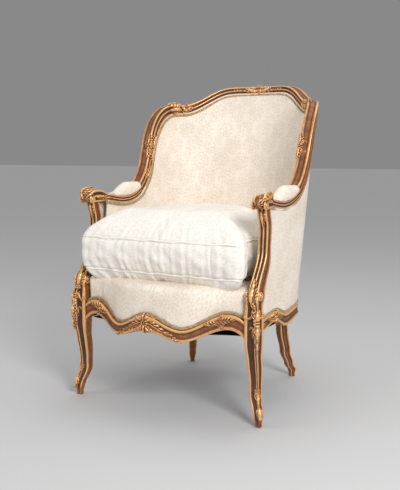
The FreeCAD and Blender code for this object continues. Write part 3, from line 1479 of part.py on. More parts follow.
keep(add_feature("seat_cushion", make_cushion()))
keep(add_feature("cushion_welt_bottom", make_welt("cushion_low_seam")))
keep(add_feature("cushion_welt_top", make_welt("cushion_top_seam")))

# Check every object, then write one file per node
doc.recompute()
for item in doc.Objects:
    if "Invalid" in item.State or "Error" in item.State:
        raise RuntimeError(f"{item.Name} did not build: {item.State}")
for piece in NODES:
    if piece.Shape.isNull() or not piece.Shape.isValid() or not piece.Shape.Solids:
        raise RuntimeError(f"{piece.Label} has no valid solid")

os.makedirs("parts", exist_ok=True)
for piece in NODES:
    piece.Shape.exportStep(f"parts/{piece.Label}.step")
print(f"{len(NODES)} nodes written")
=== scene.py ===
import bpy
import bmesh
import math
import numpy as np
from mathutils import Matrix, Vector
from mathutils.bvhtree import BVHTree


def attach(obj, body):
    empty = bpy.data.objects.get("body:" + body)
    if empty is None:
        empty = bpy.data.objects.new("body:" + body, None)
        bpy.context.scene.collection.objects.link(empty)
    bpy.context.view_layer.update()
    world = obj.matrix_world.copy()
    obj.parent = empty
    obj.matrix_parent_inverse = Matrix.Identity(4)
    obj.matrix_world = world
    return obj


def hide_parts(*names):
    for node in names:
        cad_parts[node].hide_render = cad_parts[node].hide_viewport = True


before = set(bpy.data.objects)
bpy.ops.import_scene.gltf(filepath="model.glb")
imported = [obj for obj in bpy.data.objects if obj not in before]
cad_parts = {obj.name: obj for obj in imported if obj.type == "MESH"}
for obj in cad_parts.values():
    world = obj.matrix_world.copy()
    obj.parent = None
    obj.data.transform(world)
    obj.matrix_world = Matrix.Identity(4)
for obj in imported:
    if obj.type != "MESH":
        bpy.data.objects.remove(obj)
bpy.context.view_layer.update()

# FRONT LEGS. Cabriole legs of carved beech, water-gilded over red bole and worn with age.
# A rib runs down the outer corner between hollowed faces with raised edges, and the ankle
# turns out to a scrolled toe on a small block. Lengths are in millimetres.
LEG_OUT, LEG_FRONT, LEG_TOP = 295.0, 290.0, 335.0


def smooth_step(x):
    """Rises smoothly from 0 to 1 as x does."""
    x = np.clip(x, 0.0, 1.0)
    return x * x * (3.0 - 2.0 * x)


def eased(at, keys):
    """Values that run smoothly through (place, value) keys and are level at each of them."""
    at = np.asarray(at, float)
    out = np.full(at.shape, float(keys[0][1]))
    for (low, first), (high, last) in zip(keys, keys[1:]):
        inside = at > low
        out = np.where(inside, first + (last - first) * smooth_step((at - low) / (high - low)), out)
    return out


def closed_profile(corners, count, softness=0.5):
    """A smooth closed outline through corners, evenly spaced: an array of 2-D points."""
    knots = np.array(corners, float)
    before, after = np.roll(knots, 1, 0), np.roll(knots, -1, 0)
    tangent = (after - before) * softness
    after_tangent = np.roll(tangent, -1, 0)
    t = np.linspace(0, 1, 24, endpoint=False)[None, :, None]
    a, b = knots[:, None], after[:, None]
    fine = ((2 * t**3 - 3 * t**2 + 1) * a + (t**3 - 2 * t**2 + t) * tangent[:, None]
            + (3 * t**2 - 2 * t**3) * b + (t**3 - t**2) * after_tangent[:, None]).reshape(-1, 2)
    return even_loop(fine, count)


def even_loop(points, count):
    """The same closed line with evenly spaced points."""
    closed = np.vstack([points, points[:1]])
    reach = np.concatenate([[0], np.cumsum(np.linalg.norm(np.diff(closed, axis=0), axis=1))])
    wanted = np.linspace(0, reach[-1], count, endpoint=False)
    return np.stack([np.interp(wanted, reach, closed[:, axis]) for axis in range(closed.shape[1])], 1)


def placed(name, data):
    """A new object in the scene."""
    made = bpy.data.objects.new(name, data)
    bpy.context.scene.collection.objects.link(made)
    return made


def mesh_vectors(piece, kind="co"):
    """The places of a mesh's points in metres, or their normals."""
    flat = np.empty(len(piece.data.vertices) * 3)
    piece.data.vertices.foreach_get(kind, flat)
    return flat.reshape(-1, 3)


def make_piece(name, points, faces):
    """A smooth mesh object from points in millimetres and its faces."""
    mesh = bpy.data.meshes.new(name)
    mesh.from_pydata((np.asarray(points) * 0.001).tolist(), [], [list(face) for face in faces])
    mesh.validate()
    mesh.shade_smooth()
    return placed(name, mesh)


def tube_faces(rows, columns):
    """Faces that join closed rings of points into a tube with closed ends."""
    i, j = np.meshgrid(np.arange(rows - 1), np.arange(columns), indexing="ij")
    k = (j + 1) % columns
    quads = np.stack([i * columns + j, i * columns + k, (i + 1) * columns + k,
                      (i + 1) * columns + j], -1).reshape(-1, 4)
    last = (rows - 1) * columns
    return quads.tolist() + [list(range(columns))[::-1], list(range(last, last + columns))]


def outward_faces(piece):
    """Turns every face of a closed piece to the outside."""
    work = bmesh.new()
    work.from_mesh(piece.data)
    bmesh.ops.recalc_face_normals(work, faces=work.faces)
    work.to_mesh(piece.data)
    work.free()
    return piece


def tube_piece(name, rings):
    """A closed piece swept through rings of points."""
    rings = np.asarray(rings, float)
    rows, columns = rings.shape[:2]
    return outward_faces(make_piece(name, rings.reshape(-1, 3), tube_faces(rows, columns)))


def mark_relief(piece, rounds=3):
    """Stores how proud or hollow the surface is at each point, for the gilder's materials:
    near 0 in the hollows, 0.5 on flats and near 1 on the ridges."""
    mesh = piece.data
    place, normal = mesh_vectors(piece), mesh_vectors(piece, "normal")
    count = len(place)
    ends = np.empty(len(mesh.edges) * 2, int)
    mesh.edges.foreach_get("vertices", ends)
    ends = ends.reshape(-1, 2)
    links = np.bincount(ends.ravel(), minlength=count).clip(1)
    step = place[ends[:, 1]] - place[ends[:, 0]]
    length = np.linalg.norm(step, axis=1).clip(1e-6)
    proud = np.zeros(count)
    for side, sign in ((0, 1), (1, -1)):
        slope = -(normal[ends[:, side]] * step).sum(1) * sign / length
        proud += np.bincount(ends[:, side], slope, count)
    proud /= links
    for _ in range(rounds):
        total = np.bincount(ends[:, 0], proud[ends[:, 1]], count)
        total += np.bincount(ends[:, 1], proud[ends[:, 0]], count)
        proud = 0.5 * proud + 0.5 * total / links
    return store_relief(piece, np.clip(0.46 + 2.2 * proud, 0, 1))


def store_relief(piece, values):
    """Keeps the relief with the mesh for the gilder's materials."""
    layer = piece.data.attributes.get("relief") or piece.data.attributes.new("relief", "FLOAT", "POINT")
    layer.data.foreach_set("value", np.asarray(values, np.float32).ravel())
    return piece


class Skin:
    """The surface of a swept piece, so that carving can be laid on it: places are in
    millimetres along the piece and round it from a starting point."""

    def __init__(self, rings):
        self.rings = np.asarray(rings, float)
        along = np.gradient(self.rings, axis=0)
        around = (np.roll(self.rings, -1, 1) - np.roll(self.rings, 1, 1)) / 2
        self.normals = np.cross(along, around)
        self.normals /= np.linalg.norm(self.normals, axis=2, keepdims=True).clip(1e-9)
        middle = self.rings.mean(1, keepdims=True)
        if ((self.rings - middle) * self.normals).sum() < 0:
            self.normals *= -1
        self.row_step = np.linalg.norm(along, axis=2).mean(1)
        self.column_step = np.linalg.norm(around, axis=2).mean(1)

    def at(self, row, column, lift):
        """Points over fractional rows and columns, lifted off the surface."""
        rows, columns = self.rings.shape[:2]
        row = np.clip(row, 0, rows - 1.001)
        i, f = row.astype(int), (row % 1)[..., None]
        j, g = np.floor(column).astype(int) % columns, (column % 1)[..., None]
        k = (j + 1) % columns
        out = []
        for grid in (self.rings, self.normals):
            out.append((grid[i, j] * (1 - f) + grid[i + 1, j] * f) * (1 - g)
                       + (grid[i, k] * (1 - f) + grid[i + 1, k] * f) * g)
        return out[0] + out[1] * np.asarray(lift)[..., None]

    def relief(self, reach=5.0):
        """How proud each point stands of the surface within `reach` mm round the section."""
        span = max(2, int(round(reach / self.column_step.mean())))
        blurred = sum(np.roll(self.rings, shift, 1) for shift in range(-span, span + 1))
        proud = ((self.rings - blurred / (2 * span + 1)) * self.normals).sum(2)
        proud -= np.median(proud, axis=1, keepdims=True)
        return np.clip(0.48 + 0.33 * proud, 0.1, 0.95)

    def lay(self, shape, row, column, turn=0.0):
        """A carved shape laid on the surface with its own x turned from the piece's length."""
        a, b, h, faces = shape
        c, s = math.cos(math.radians(turn)), math.sin(math.radians(turn))
        here = int(np.clip(row, 0, len(self.row_step) - 1))
        rows = row + (a * c - b * s) / self.row_step[here]
        columns = column + (a * s + b * c) / self.column_step[here]
        return self.at(rows, columns, h), faces


SUNK = -1.2


def two_sided_faces(rows, columns):
    """Faces of a grid, of a second grid under it and of the strip that joins their rims."""
    i, j = np.meshgrid(np.arange(rows - 1), np.arange(columns - 1), indexing="ij")
    quad = np.stack([i * columns + j, (i + 1) * columns + j, (i + 1) * columns + j + 1,
                     i * columns + j + 1], -1).reshape(-1, 4)
    size = rows * columns
    rim = [(0, k) for k in range(columns)] + [(k, columns - 1) for k in range(1, rows)]
    rim += [(rows - 1, k) for k in range(columns - 2, -1, -1)]
    rim += [(k, 0) for k in range(rows - 2, 0, -1)]
    rim = [r * columns + c for r, c in rim]
    strip = [[p, q, q + size, p + size] for p, q in zip(rim, rim[1:] + rim[:1])]
    return quad.tolist() + (quad[:, ::-1] + size).tolist() + strip


def closed_patch(a, b, h):
    """A grid of carved relief closed underneath, sunk a little into the wood."""
    low = np.full(h.size, SUNK)
    return (np.tile(a.ravel(), 2), np.tile(b.ravel(), 2), np.concatenate([h.ravel(), low]),
            two_sided_faces(*a.shape))


def leaf(long, wide, rise, lobes=4, curl=0.5, sway=0.0):
    """An acanthus leaf along x: lobed edges, a midrib, and a tip that lifts."""
    u, v = np.meshgrid(np.linspace(0, 1, 11 * lobes), np.linspace(-1, 1, 19), indexing="ij")
    edge = abs(v)
    beat = 0.5 + 0.5 * np.cos(2 * np.pi * (lobes * (u - 0.16 * edge) + 0.5))
    body = np.sin(np.pi * np.clip(0.06 + 0.94 * u, 0, 1) ** 0.75).clip(0.02) ** 0.75
    half = wide / 2 * body * (1 - 0.38 * (1 - beat) ** 2 * edge)
    a = long * (u + 0.1 * edge * body * (1 - u))
    b = half * v + sway * long * np.sin(np.pi * u / 2) ** 2
    dome = np.sqrt((1 - (0.97 * v) ** 2).clip(0)) * (0.45 + 0.55 * np.sin(np.pi * u ** 0.8))
    rib = 0.4 * np.exp(-(v / 0.15) ** 2) * (1 - 0.6 * u)
    groove = 0.42 * (1 - beat) * edge ** 0.6 + 0.25 * np.exp(-((edge - 0.27) / 0.1) ** 2)
    tip = curl * smooth_step((u - 0.62) / 0.38) * (1 - 0.5 * edge)
    return closed_patch(a, b, rise * (dome + rib - groove + tip) * body ** 0.3 + 0.2)


def polar_shape(radii, angles, radius, height):
    """A round carved shape from functions of its radius share and angle."""
    r, t = np.meshgrid(radii, angles, indexing="ij")
    reach = radius(r, t)
    h = height(r, t)
    h[-1] = SUNK
    return ((reach * np.cos(t)).ravel(), (reach * np.sin(t)).ravel(), h.ravel(),
            tube_faces(len(radii), len(angles)))


def rosette(size, rise, petals=6, heart=0.28):
    """A small flower: rounded petals about a bead."""
    angles = np.linspace(0, 2 * np.pi, 8 * petals, endpoint=False)
    radii = np.concatenate([np.linspace(0.03, 1, 14), [1.02]])

    def reach(r, t):
        return size * r * (1 - 0.2 * r * (1 - abs(np.cos(petals * t / 2)) ** 0.7))

    def height(r, t):
        petal = np.sin(np.pi * np.clip((r - heart) / (1 - heart), 0, 1) ** 0.7) * 0.75
        petal = petal * (0.35 + 0.65 * abs(np.cos(petals * t / 2)) ** 0.8) + 0.15
        bead = np.sqrt((1 - (r / heart) ** 2).clip(0)) * 0.95
        return rise * np.maximum(petal, bead)
    return polar_shape(radii, angles, reach, height)


def scroll(long, bend, thick, rise, start=0.0, taper=0.55, eye=1.5):
    """A C-scroll: a moulded band that curls by `bend` degrees into an eye."""
    t = np.linspace(0, 1, 64)
    heading = math.radians(start) + math.radians(bend) * t ** 1.7
    step = long / 63 * (1 - 0.55 * t)
    x = np.concatenate([[0], np.cumsum(np.cos(heading) * step)[:-1]])
    y = np.concatenate([[0], np.cumsum(np.sin(heading) * step)[:-1]])
    girth = thick / 2 * (1 - taper * t)
    girth[-6:] *= eye
    girth[0] *= 0.35
    ring = np.linspace(0, 2 * np.pi, 14, endpoint=False)
    across = np.cos(ring)[None, :] * girth[:, None]
    lift = (np.sin(ring)[None, :] * girth[:, None]).clip(-1.5) * rise / (thick / 2)
    lift -= 0.35 * rise * np.exp(-(np.cos(ring)[None, :] / 0.3) ** 2) * (np.sin(ring)[None, :] > 0)
    a = x[:, None] - np.sin(heading)[:, None] * across
    b = y[:, None] + np.cos(heading)[:, None] * across
    return a.ravel(), b.ravel(), lift.ravel(), tube_faces(64, 14)


def bead(size, rise):
    """A small half-round boss."""
    angles = np.linspace(0, 2 * np.pi, 20, endpoint=False)
    radii = np.concatenate([np.sin(np.linspace(0.08, np.pi / 2, 8)), [1.02]])
    return polar_shape(radii, angles, lambda r, t: size * r,
                       lambda r, t: rise * np.sqrt((1 - r ** 2).clip(0)))


def carving(name, laid, mirror=False):
    """One object from carved shapes laid on a piece, on the right or mirrored to the left."""
    points, faces, start = [], [], 0
    for spots, own in laid:
        points.append(np.asarray(spots).reshape(-1, 3))
        faces += [[start + index for index in face] for face in own]
        start += len(points[-1])
    points = np.concatenate(points)
    if mirror:
        points = points * [-1, 1, 1]
    return mark_relief(outward_faces(make_piece(name, points, faces)), 1)


def both_sides(name, rings, node, laid=()):
    """The right-hand piece, its carving and their mirror images, each in place of its node."""
    for side, flip in (("right", 1), ("left", -1)):
        piece = tube_piece(f"{name}_{side}", np.asarray(rings) * [flip, 1, 1])
        gild(store_relief(piece, Skin(rings).relief()))
        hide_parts(f"{node}_{side}")
        if laid:
            gild(carving(f"{name}_carving_{side}", laid, flip < 0))


def wire(tree, kind, values=None, **settings):
    """Adds a shader node, sets its named or numbered inputs and links those that are sockets."""
    made = tree.nodes.new(kind)
    for name, value in settings.items():
        setattr(made, name, value)
    for name, value in (values or {}).items():
        if isinstance(value, bpy.types.NodeSocket):
            tree.links.new(value, made.inputs[name])
        else:
            made.inputs[name].default_value = value
    return made


def math_of(tree, operation, first, second=0.0, clamp=False):
    """A sum or function of one or two values in a shader."""
    return wire(tree, "ShaderNodeMath", {0: first, 1: second}, operation=operation,
                use_clamp=clamp).outputs[0]


def ramp(tree, factor, stops, interpolation="LINEAR"):
    """A colour ramp with (place, colour) stops."""
    made = wire(tree, "ShaderNodeValToRGB", {0: factor})
    made.color_ramp.interpolation = interpolation
    for index, (place, colour) in enumerate(stops):
        if index < 2:
            element = made.color_ramp.elements[index]
            element.position = place
        else:
            element = made.color_ramp.elements.new(place)
        element.color = colour if len(colour) == 4 else (*colour, 1)
    return made.outputs[0]


def shader_group(name, inputs, outputs):
    """An empty shader group with named (kind, name, value) inputs and (kind, name) outputs."""
    group = bpy.data.node_groups.new(name, "ShaderNodeTree")
    for kind, label, value in inputs:
        socket = group.interface.new_socket(label, in_out="INPUT", socket_type=kind)
        if value is not None:
            socket.default_value = value
    for kind, label in outputs:
        group.interface.new_socket(label, in_out="OUTPUT", socket_type=kind)
    return group, group.nodes.new("NodeGroupInput"), group.nodes.new("NodeGroupOutput")


def new_material(name):
    """An empty material with a surface: returns it, its tree and the surface node."""
    material = bpy.data.materials.new(name)
    material.use_nodes = True
    material.node_tree.nodes.clear()
    tree = material.node_tree
    out = tree.nodes.new("ShaderNodeOutputMaterial")
    surface = tree.nodes.new("ShaderNodeBsdfPrincipled")
    tree.links.new(surface.outputs[0], out.inputs[0])
    return material, tree, surface


def gilder_wear_and_light():
    """Old water gilding: gold left on the ridges, bole and wood showing in streaks, and dirt in the
    hollows.
    Through the relief the ridges also carry a painted highlight and the hollows a painted shade."""
    group, given, result = shader_group("gilder_wear_and_light", [
        ("NodeSocketFloat", "Relief", 0.5), ("NodeSocketVector", "Place", None),
        ("NodeSocketFloat", "Rubbing", 0.5)],
        [("NodeSocketFloat", "Gold_And_Painted_Light"), ("NodeSocketFloat", "Dirt_And_Painted_Shade"), ("NodeSocketFloat", "Height")])
    place = given.outputs["Place"]
    patches = wire(group, "ShaderNodeTexNoise", {"Vector": place, "Scale": 55.0, "Detail": 4.0,
                                                 "Roughness": 0.62}).outputs[0]
    streaks = wire(group, "ShaderNodeTexNoise", {"Vector": place, "Scale": 260.0, "Detail": 3.0,
                                                 "Roughness": 0.7}).outputs[0]
    specks = wire(group, "ShaderNodeTexVoronoi", {"Vector": place, "Scale": 420.0}).outputs[0]
    worn = math_of(group, "ADD", math_of(group, "MULTIPLY", patches, 0.9),
                   math_of(group, "MULTIPLY", streaks, 0.5))
    worn = math_of(group, "SUBTRACT", worn, 0.7)
    # Painted highlight and shade: the relief is added to the worn tone, so ridges turn pale gold and
    # hollows dark whatever the light.
    tone = math_of(group, "MULTIPLY_ADD", worn, given.outputs["Rubbing"])
    group.links.new(given.outputs["Relief"], tone.node.inputs[2])
    gold_and_painted_light = wire(group, "ShaderNodeMapRange", {"Value": tone, "From Min": 0.18, "From Max": 0.86},
                interpolation_type="SMOOTHSTEP").outputs[0]
    # Painted shade: the hollows found from the relief are darkened, partly as dirt and partly as shade; the
    # specks below are dirt.
    hollow = wire(group, "ShaderNodeMapRange", {"Value": given.outputs["Relief"], "From Min": 0.46,
                                                "From Max": 0.1}).outputs[0]
    dirt_and_painted_shade = math_of(group, "MULTIPLY", hollow, math_of(group, "ADD", patches, 0.45), True)
    pits = math_of(group, "LESS_THAN", specks, 0.09)
    dirt_and_painted_shade = math_of(group, "MAXIMUM", dirt_and_painted_shade, math_of(group, "MULTIPLY", pits, 0.55))
    height = math_of(group, "ADD", math_of(group, "MULTIPLY", streaks, 0.6),
                     math_of(group, "MULTIPLY", specks, 0.5))
    for label, value in (("Gold_And_Painted_Light", gold_and_painted_light), ("Dirt_And_Painted_Shade", dirt_and_painted_shade), ("Height", height)):
        group.links.new(value, result.inputs[label])
    return group


def make_gilding(name, group, rubbing, shades):
    """Gilded wood from the wear and painted-light group, with its own shades from bare wood to bright leaf,
    and a dark brown mixed into the hollows as dirt and painted shade.
    """
    material, tree, surface = new_material(name)
    relief = wire(tree, "ShaderNodeAttribute", attribute_name="relief").outputs["Fac"]
    place = tree.nodes.new("ShaderNodeTexCoord").outputs["Object"]
    wear_and_light = wire(tree, "ShaderNodeGroup", node_tree=group)
    tree.links.new(relief, wear_and_light.inputs["Relief"])
    tree.links.new(place, wear_and_light.inputs["Place"])
    wear_and_light.inputs["Rubbing"].default_value = rubbing
    colour = ramp(tree, wear_and_light.outputs["Gold_And_Painted_Light"], shades)
    # Painted shade: this dark brown is mixed in by the dirt and painted-shade mask, darkest in the hollows.
    dirty_and_shaded = wire(tree, "ShaderNodeMix", {0: wear_and_light.outputs["Dirt_And_Painted_Shade"], 6: colour,
                                         7: (0.055, 0.020, 0.009, 1)}, data_type="RGBA").outputs[2]
    tree.links.new(dirty_and_shaded, surface.inputs["Base Color"])
    clean = math_of(tree, "SUBTRACT", wear_and_light.outputs["Gold_And_Painted_Light"], wear_and_light.outputs["Dirt_And_Painted_Shade"], True)
    tree.links.new(math_of(tree, "MULTIPLY", clean, 0.55), surface.inputs["Metallic"])
    tree.links.new(wire(tree, "ShaderNodeMapRange", {"Value": clean, "To Min": 0.62, "To Max": 0.34})
                   .outputs[0], surface.inputs["Roughness"])
    bump = wire(tree, "ShaderNodeBump", {"Strength": 0.35, "Distance": 0.0006,
                                         "Height": wear_and_light.outputs["Height"]}).outputs[0]
    tree.links.new(bump, surface.inputs["Normal"])
    return material


WEAR_AND_LIGHT = gilder_wear_and_light()
# Shades chosen by wear and relief: the dark end falls in the hollows as painted shade and the pale end on
# the ridges as painted highlight.
GILT_SHADES = [(0.0, (0.050, 0.016, 0.007)), (0.25, (0.17, 0.056, 0.019)),
               (0.5, (0.36, 0.132, 0.041)), (0.75, (0.56, 0.245, 0.084)), (1.0, (0.84, 0.49, 0.22))]
GILT = make_gilding("water_gilding", WEAR_AND_LIGHT, 0.42, GILT_SHADES)


def give_finish(piece, material):
    """Gives a piece one material in place of any that it has."""
    piece.data.materials.clear()
    piece.data.materials.append(material)


def gild(piece):
    """Finishes a carved piece in the chair's gilding and fixes it to the chair."""
    give_finish(piece, GILT)
    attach(piece, "chair")
    return piece


LEG_PROFILE = [(-1, -0.72), (-0.74, -1), (0.5, -1), (0.74, -1.0), (0.95, -0.95), (1.03, -0.78),
               (1.0, -0.58), (0.83, -0.45), (0.74, -0.15), (0.74, 0.2), (0.84, 0.42), (0.97, 0.55),
               (0.98, 0.68), (0.9, 0.78), (1.02, 0.9), (1.04, 1.04), (0.9, 1.02), (0.78, 0.9),
               (0.68, 0.98), (0.55, 0.97), (0.42, 0.84), (0.2, 0.74), (-0.15, 0.74), (-0.45, 0.83),
               (-0.58, 1.0), (-0.78, 1.03), (-0.95, 0.95), (-1, 0.74), (-1, 0.5)]
LEG_COLUMNS = 96


def leg_rings():
    """Rings of the right front leg from the seat down to the floor."""
    outline = closed_profile(LEG_PROFILE, LEG_COLUMNS)
    levels = np.linspace(LEG_TOP, 0.0, 169)
    kick = 17.0 * eased(levels, [(0, 1.0), (24, 0.95), (92, 0.0)])
    back = 15.0 * eased(levels, [(24, 0.0), (92, 1.0), (120, 1.0), (240, 0.0)])
    half = eased(levels, [(8, 7.8), (34, 11.5), (92, 13.7), (190, 17.0), (240, 20.8)])
    rings = []
    for level, out, set_back, size in zip(levels, kick, back, half):
        plain = 1 - smooth_step((level - 10) / 20)
        ring = outline * size
        ring = ring * (1 - plain) + np.clip(ring * 1.05, -0.92 * size, 0.92 * size) * plain
        ring *= 1 - np.array([0.03, 0.12]) * smooth_step((level - 312) / 23)
        rings.append(np.column_stack([LEG_OUT + out + ring[:, 0],
                                      -LEG_FRONT + set_back - ring[:, 1],
                                      np.full(LEG_COLUMNS, level)]))
    return np.array(rings)


LEG_RINGS = leg_rings()
LEG_SKIN = Skin(LEG_RINGS)
KNEE_ROW = 40
LEG_CORNER = int(np.argmax(LEG_RINGS[KNEE_ROW, :, 0] - LEG_RINGS[KNEE_ROW, :, 1]))


def on_leg(level):
    """The leg's row at a level."""
    return (LEG_TOP - level) / LEG_TOP * (len(LEG_RINGS) - 1)


# The carving of the knee and foot, as (shape, level, mm across the corner, turn)
KNEE_STEP = LEG_SKIN.column_step[KNEE_ROW]
KNEE_CARVING = [LEG_SKIN.lay(shape, on_leg(level), LEG_CORNER + across / KNEE_STEP, turn)
                for shape, level, across, turn in (
    (scroll(70, 250, 8, 6, 0), 330, 17, 14), (scroll(70, -250, 8, 6, 0), 330, -17, -14),
    (scroll(40, -230, 7, 5, 0), 268, 17, 190), (scroll(40, 230, 7, 5, 0), 268, -17, -190),
    (rosette(15, 8.5), 301, 0, 0), (leaf(30, 24, 7, 3, 0.9), 306, 0, 180),
    (leaf(28, 16, 6, 3), 310, 9, 150), (leaf(28, 16, 6, 3), 310, -9, -150),
    (leaf(36, 24, 7, 3, 0.9), 288, 0, 0), (leaf(30, 13, 5, 3), 284, 11, 14),
    (leaf(30, 13, 5, 3), 284, -11, -14), (rosette(6.5, 5.5, 5), 248, 0, 0),
    (leaf(30, 13, 5, 3), 244, 0, 0), (leaf(18, 8, 4, 2), 245, 5, 22), (leaf(18, 8, 4, 2), 245, -5, -22),
    (leaf(48, 15, 4.4, 4), 62, 0, 180), (leaf(34, 10, 3.6, 3), 74, 9, 172),
    (leaf(34, 10, 3.6, 3), 74, -9, -172), (leaf(38, 22, 6.5, 3, 1.0), 58, 0, 0),
    (leaf(30, 12, 5, 3), 54, 10, 8), (leaf(30, 12, 5, 3), 54, -10, -8))]
both_sides("front_leg_carved", LEG_RINGS, "front_leg", KNEE_CARVING)


# SHOW FRAME. Crest rail, stiles and arm rails, carved in one flowing moulding: a bead, a hollow,
# a rib, a hollow and a bead. The joints are tenoned and glued, and the arms run forward and
# curl over at the handholds. All of it is gilded like the legs.
SEAT_LEVEL, CREST_LEVEL = 288.0, 980.0
SEAT_HALF, SEAT_DEEP = 279.0, 227.0
CREST_WIDER, CREST_DEEPER = 17.0, 41.0
SIDE_END, BACK_LEAN = -5.0, 9.3
CORNER_RADIUS = 165.0
MM_PER_TURN = math.radians(1) * CORNER_RADIUS
JOINT_BACK = 2.0
NOSE = (295.0, -276.0, 618.0)


def wall_plan(level, outward=0.0, swell=0.0):
    """The round back's plan at a level: half width, corner radius and centre, rear radius and
    centre, for a line that lies outward of its middle and swells forward at the back."""
    share = (level - SEAT_LEVEL) / (CREST_LEVEL - SEAT_LEVEL)
    wide = SEAT_HALF + CREST_WIDER * share + outward
    deep = SEAT_DEEP + CREST_DEEPER * share + outward - swell
    turn = SIDE_END + math.tan(math.radians(BACK_LEAN)) * (level - SEAT_LEVEL)
    corner = CORNER_RADIUS + outward
    rear = (wide ** 2 - 2 * wide * corner + deep ** 2) / (2 * (deep - corner))
    return wide, corner, np.array([wide - corner, turn]), rear, np.array([0, turn + deep - rear])


def wall_spot(turn, level, outward=0.0, swell=0.0):
    """A point of the wall by its turn: 0 in the middle of the back, 90 where the side starts,
    and beyond that as the distance forward along the side."""
    wide, corner, corner_centre, rear, rear_centre = wall_plan(level, outward, swell)
    side = math.copysign(1, turn)
    angle = math.radians(min(abs(turn), 90.0))
    ray = np.array([math.sin(angle), math.cos(angle)])
    between = corner_centre - rear_centre
    if angle <= math.atan2(between[0], between[1]):
        x, y = rear_centre + ray * rear
    else:
        x, y = corner_centre + ray * corner
    return np.array([side * x, y - max(abs(turn) - 90.0, 0.0) * MM_PER_TURN, level])


def wall_outward(point):
    """The level direction out of the wall at a point on or near it."""
    wide, corner, corner_centre, rear, rear_centre = wall_plan(point[2])
    side = math.copysign(1, point[0])
    place = np.array([abs(point[0]), point[1]])
    if place[1] < corner_centre[1]:
        return np.array([side, 0.0, 0.0])
    away, between = place - rear_centre, corner_centre - rear_centre
    if math.atan2(away[0], away[1]) > math.atan2(between[0], between[1]):
        away = place - corner_centre
    away = away / np.linalg.norm(away)
    return np.array([side * away[0], away[1], 0.0])


def smooth_curve(points, step=0.5):
    """A cubic spline through points, natural at its ends, sampled evenly by length."""
    points = np.array(points, float)
    count = len(points)
    reach = np.concatenate([[0], np.cumsum(np.linalg.norm(np.diff(points, axis=0), axis=1))])
    gap = np.diff(reach)
    system, known = np.eye(count), np.zeros((count, 3))
    for i in range(1, count - 1):
        system[i, i - 1:i + 2] = gap[i - 1], 2 * (gap[i - 1] + gap[i]), gap[i]
        known[i] = 6 * ((points[i + 1] - points[i]) / gap[i] - (points[i] - points[i - 1]) / gap[i - 1])
    bend = np.linalg.solve(system, known)
    at = np.linspace(0, reach[-1], int(reach[-1] / step) * 2)
    i = np.clip(np.searchsorted(reach, at, side="right") - 1, 0, count - 2)
    h, t = gap[i][:, None], (at - reach[i])[:, None]
    left, right = points[i], points[i + 1]
    line = (bend[i] * (h - t) ** 3 / (6 * h) + bend[i + 1] * t ** 3 / (6 * h)
            + (left / h - bend[i] * h / 6) * (h - t) + (right / h - bend[i + 1] * h / 6) * t)
    run = np.concatenate([[0], np.cumsum(np.linalg.norm(np.diff(line, axis=0), axis=1))])
    even = np.linspace(0, run[-1], int(run[-1] / step) + 1)
    return np.stack([np.interp(even, run, line[:, axis]) for axis in range(3)], 1), run[-1]


RIGHT_KNOTS = [wall_spot(0, CREST_LEVEL), wall_spot(12.5, CREST_LEVEL)]
RIGHT_KNOTS += [wall_spot(turn, CREST_LEVEL - drop) for turn, drop in
                ((25, 5), (41, 45), (53, 67), (66, 72), (80, 130))]
WAIST = wall_plan(708)[0]
RIGHT_KNOTS += [np.array(spot) for spot in (
    (WAIST, 59, 708), ((WAIST + 284) / 2, JOINT_BACK, 643), (284, -41.5, (643 + 3 * 618) / 4),
    (284, -83, 618), (284, -442 / 3, (618 * 2 + 632) / 3), (289.5, -204, 631), (295, -232, 632),
    (295, -256, 628), NOSE)]
LEFT_KNOTS = [spot * [-1, 1, 1] for spot in RIGHT_KNOTS[:0:-1]]
FRAME_LINE, FRAME_LENGTH = smooth_curve(LEFT_KNOTS + RIGHT_KNOTS)
HALF_LENGTH = FRAME_LENGTH / 2
FRAME_STEP = FRAME_LENGTH / (len(FRAME_LINE) - 1)
FRAME_AHEAD = np.gradient(FRAME_LINE, FRAME_STEP, axis=0)
CREST_JOINT = 318.0


def place_near(spot):
    """Distance along the frame's line, from the middle of the crest, nearest to a point."""
    return np.argmin(np.linalg.norm(FRAME_LINE - spot, axis=1)) * FRAME_STEP - HALF_LENGTH


JOINT_PLACE = place_near(RIGHT_KNOTS[8])


def frame_station(place):
    """Point, outward and away directions of the frame; away points from the upholstery to the
    rail's outer edge."""
    at = np.clip((place + HALF_LENGTH) / FRAME_STEP, 0, len(FRAME_LINE) - 1)
    point = np.array([np.interp(at, np.arange(len(FRAME_LINE)), FRAME_LINE[:, k]) for k in range(3)])
    along = FRAME_AHEAD[int(round(at))]
    along = along / np.linalg.norm(along)
    outward = wall_outward(point)
    outward = outward - along * outward.dot(along)
    outward /= np.linalg.norm(outward)
    return point, outward, np.cross(along, outward)


def frame_edges(place):
    """The moulding's low and high edges and its depth at a place."""
    from_nose = HALF_LENGTH - abs(place)
    half = float(eased(abs(place), [(0, 12.5), (CREST_JOINT * 0.6, 13.5), (CREST_JOINT, 15.5),
                                    (CREST_JOINT + 90, 18)]))
    low = float(eased(from_nose, [(0, -9), (14, -19.2), (34, -24), (62, -24), (100, -18)]))
    high = float(eased(from_nose, [(0, 4), (14, 11.2), (34, 14), (62, 14), (100, 2)]))
    deep = float(eased(from_nose, [(0, 18.9), (20, 42), (60, 42), (100, 36)]))
    if abs(place) < JOINT_PLACE:
        low, high, deep = -half, half, 36.0
    return low, high, deep


# The moulding's face, as (share of its width, depth below the face in millimetres)
FACE = [(0.0, 3.4), (0.02, 1.2), (0.075, 0.0), (0.13, 0.3), (0.17, 1.9), (0.2, 2.6), (0.23, 2.5),
        (0.3, 3.7), (0.38, 2.6), (0.43, 1.2), (0.46, 0.2), (0.5, 0.0)]
FACE += [(1 - across, depth) for across, depth in FACE[-2::-1]]
FRAME_COLUMNS = 100


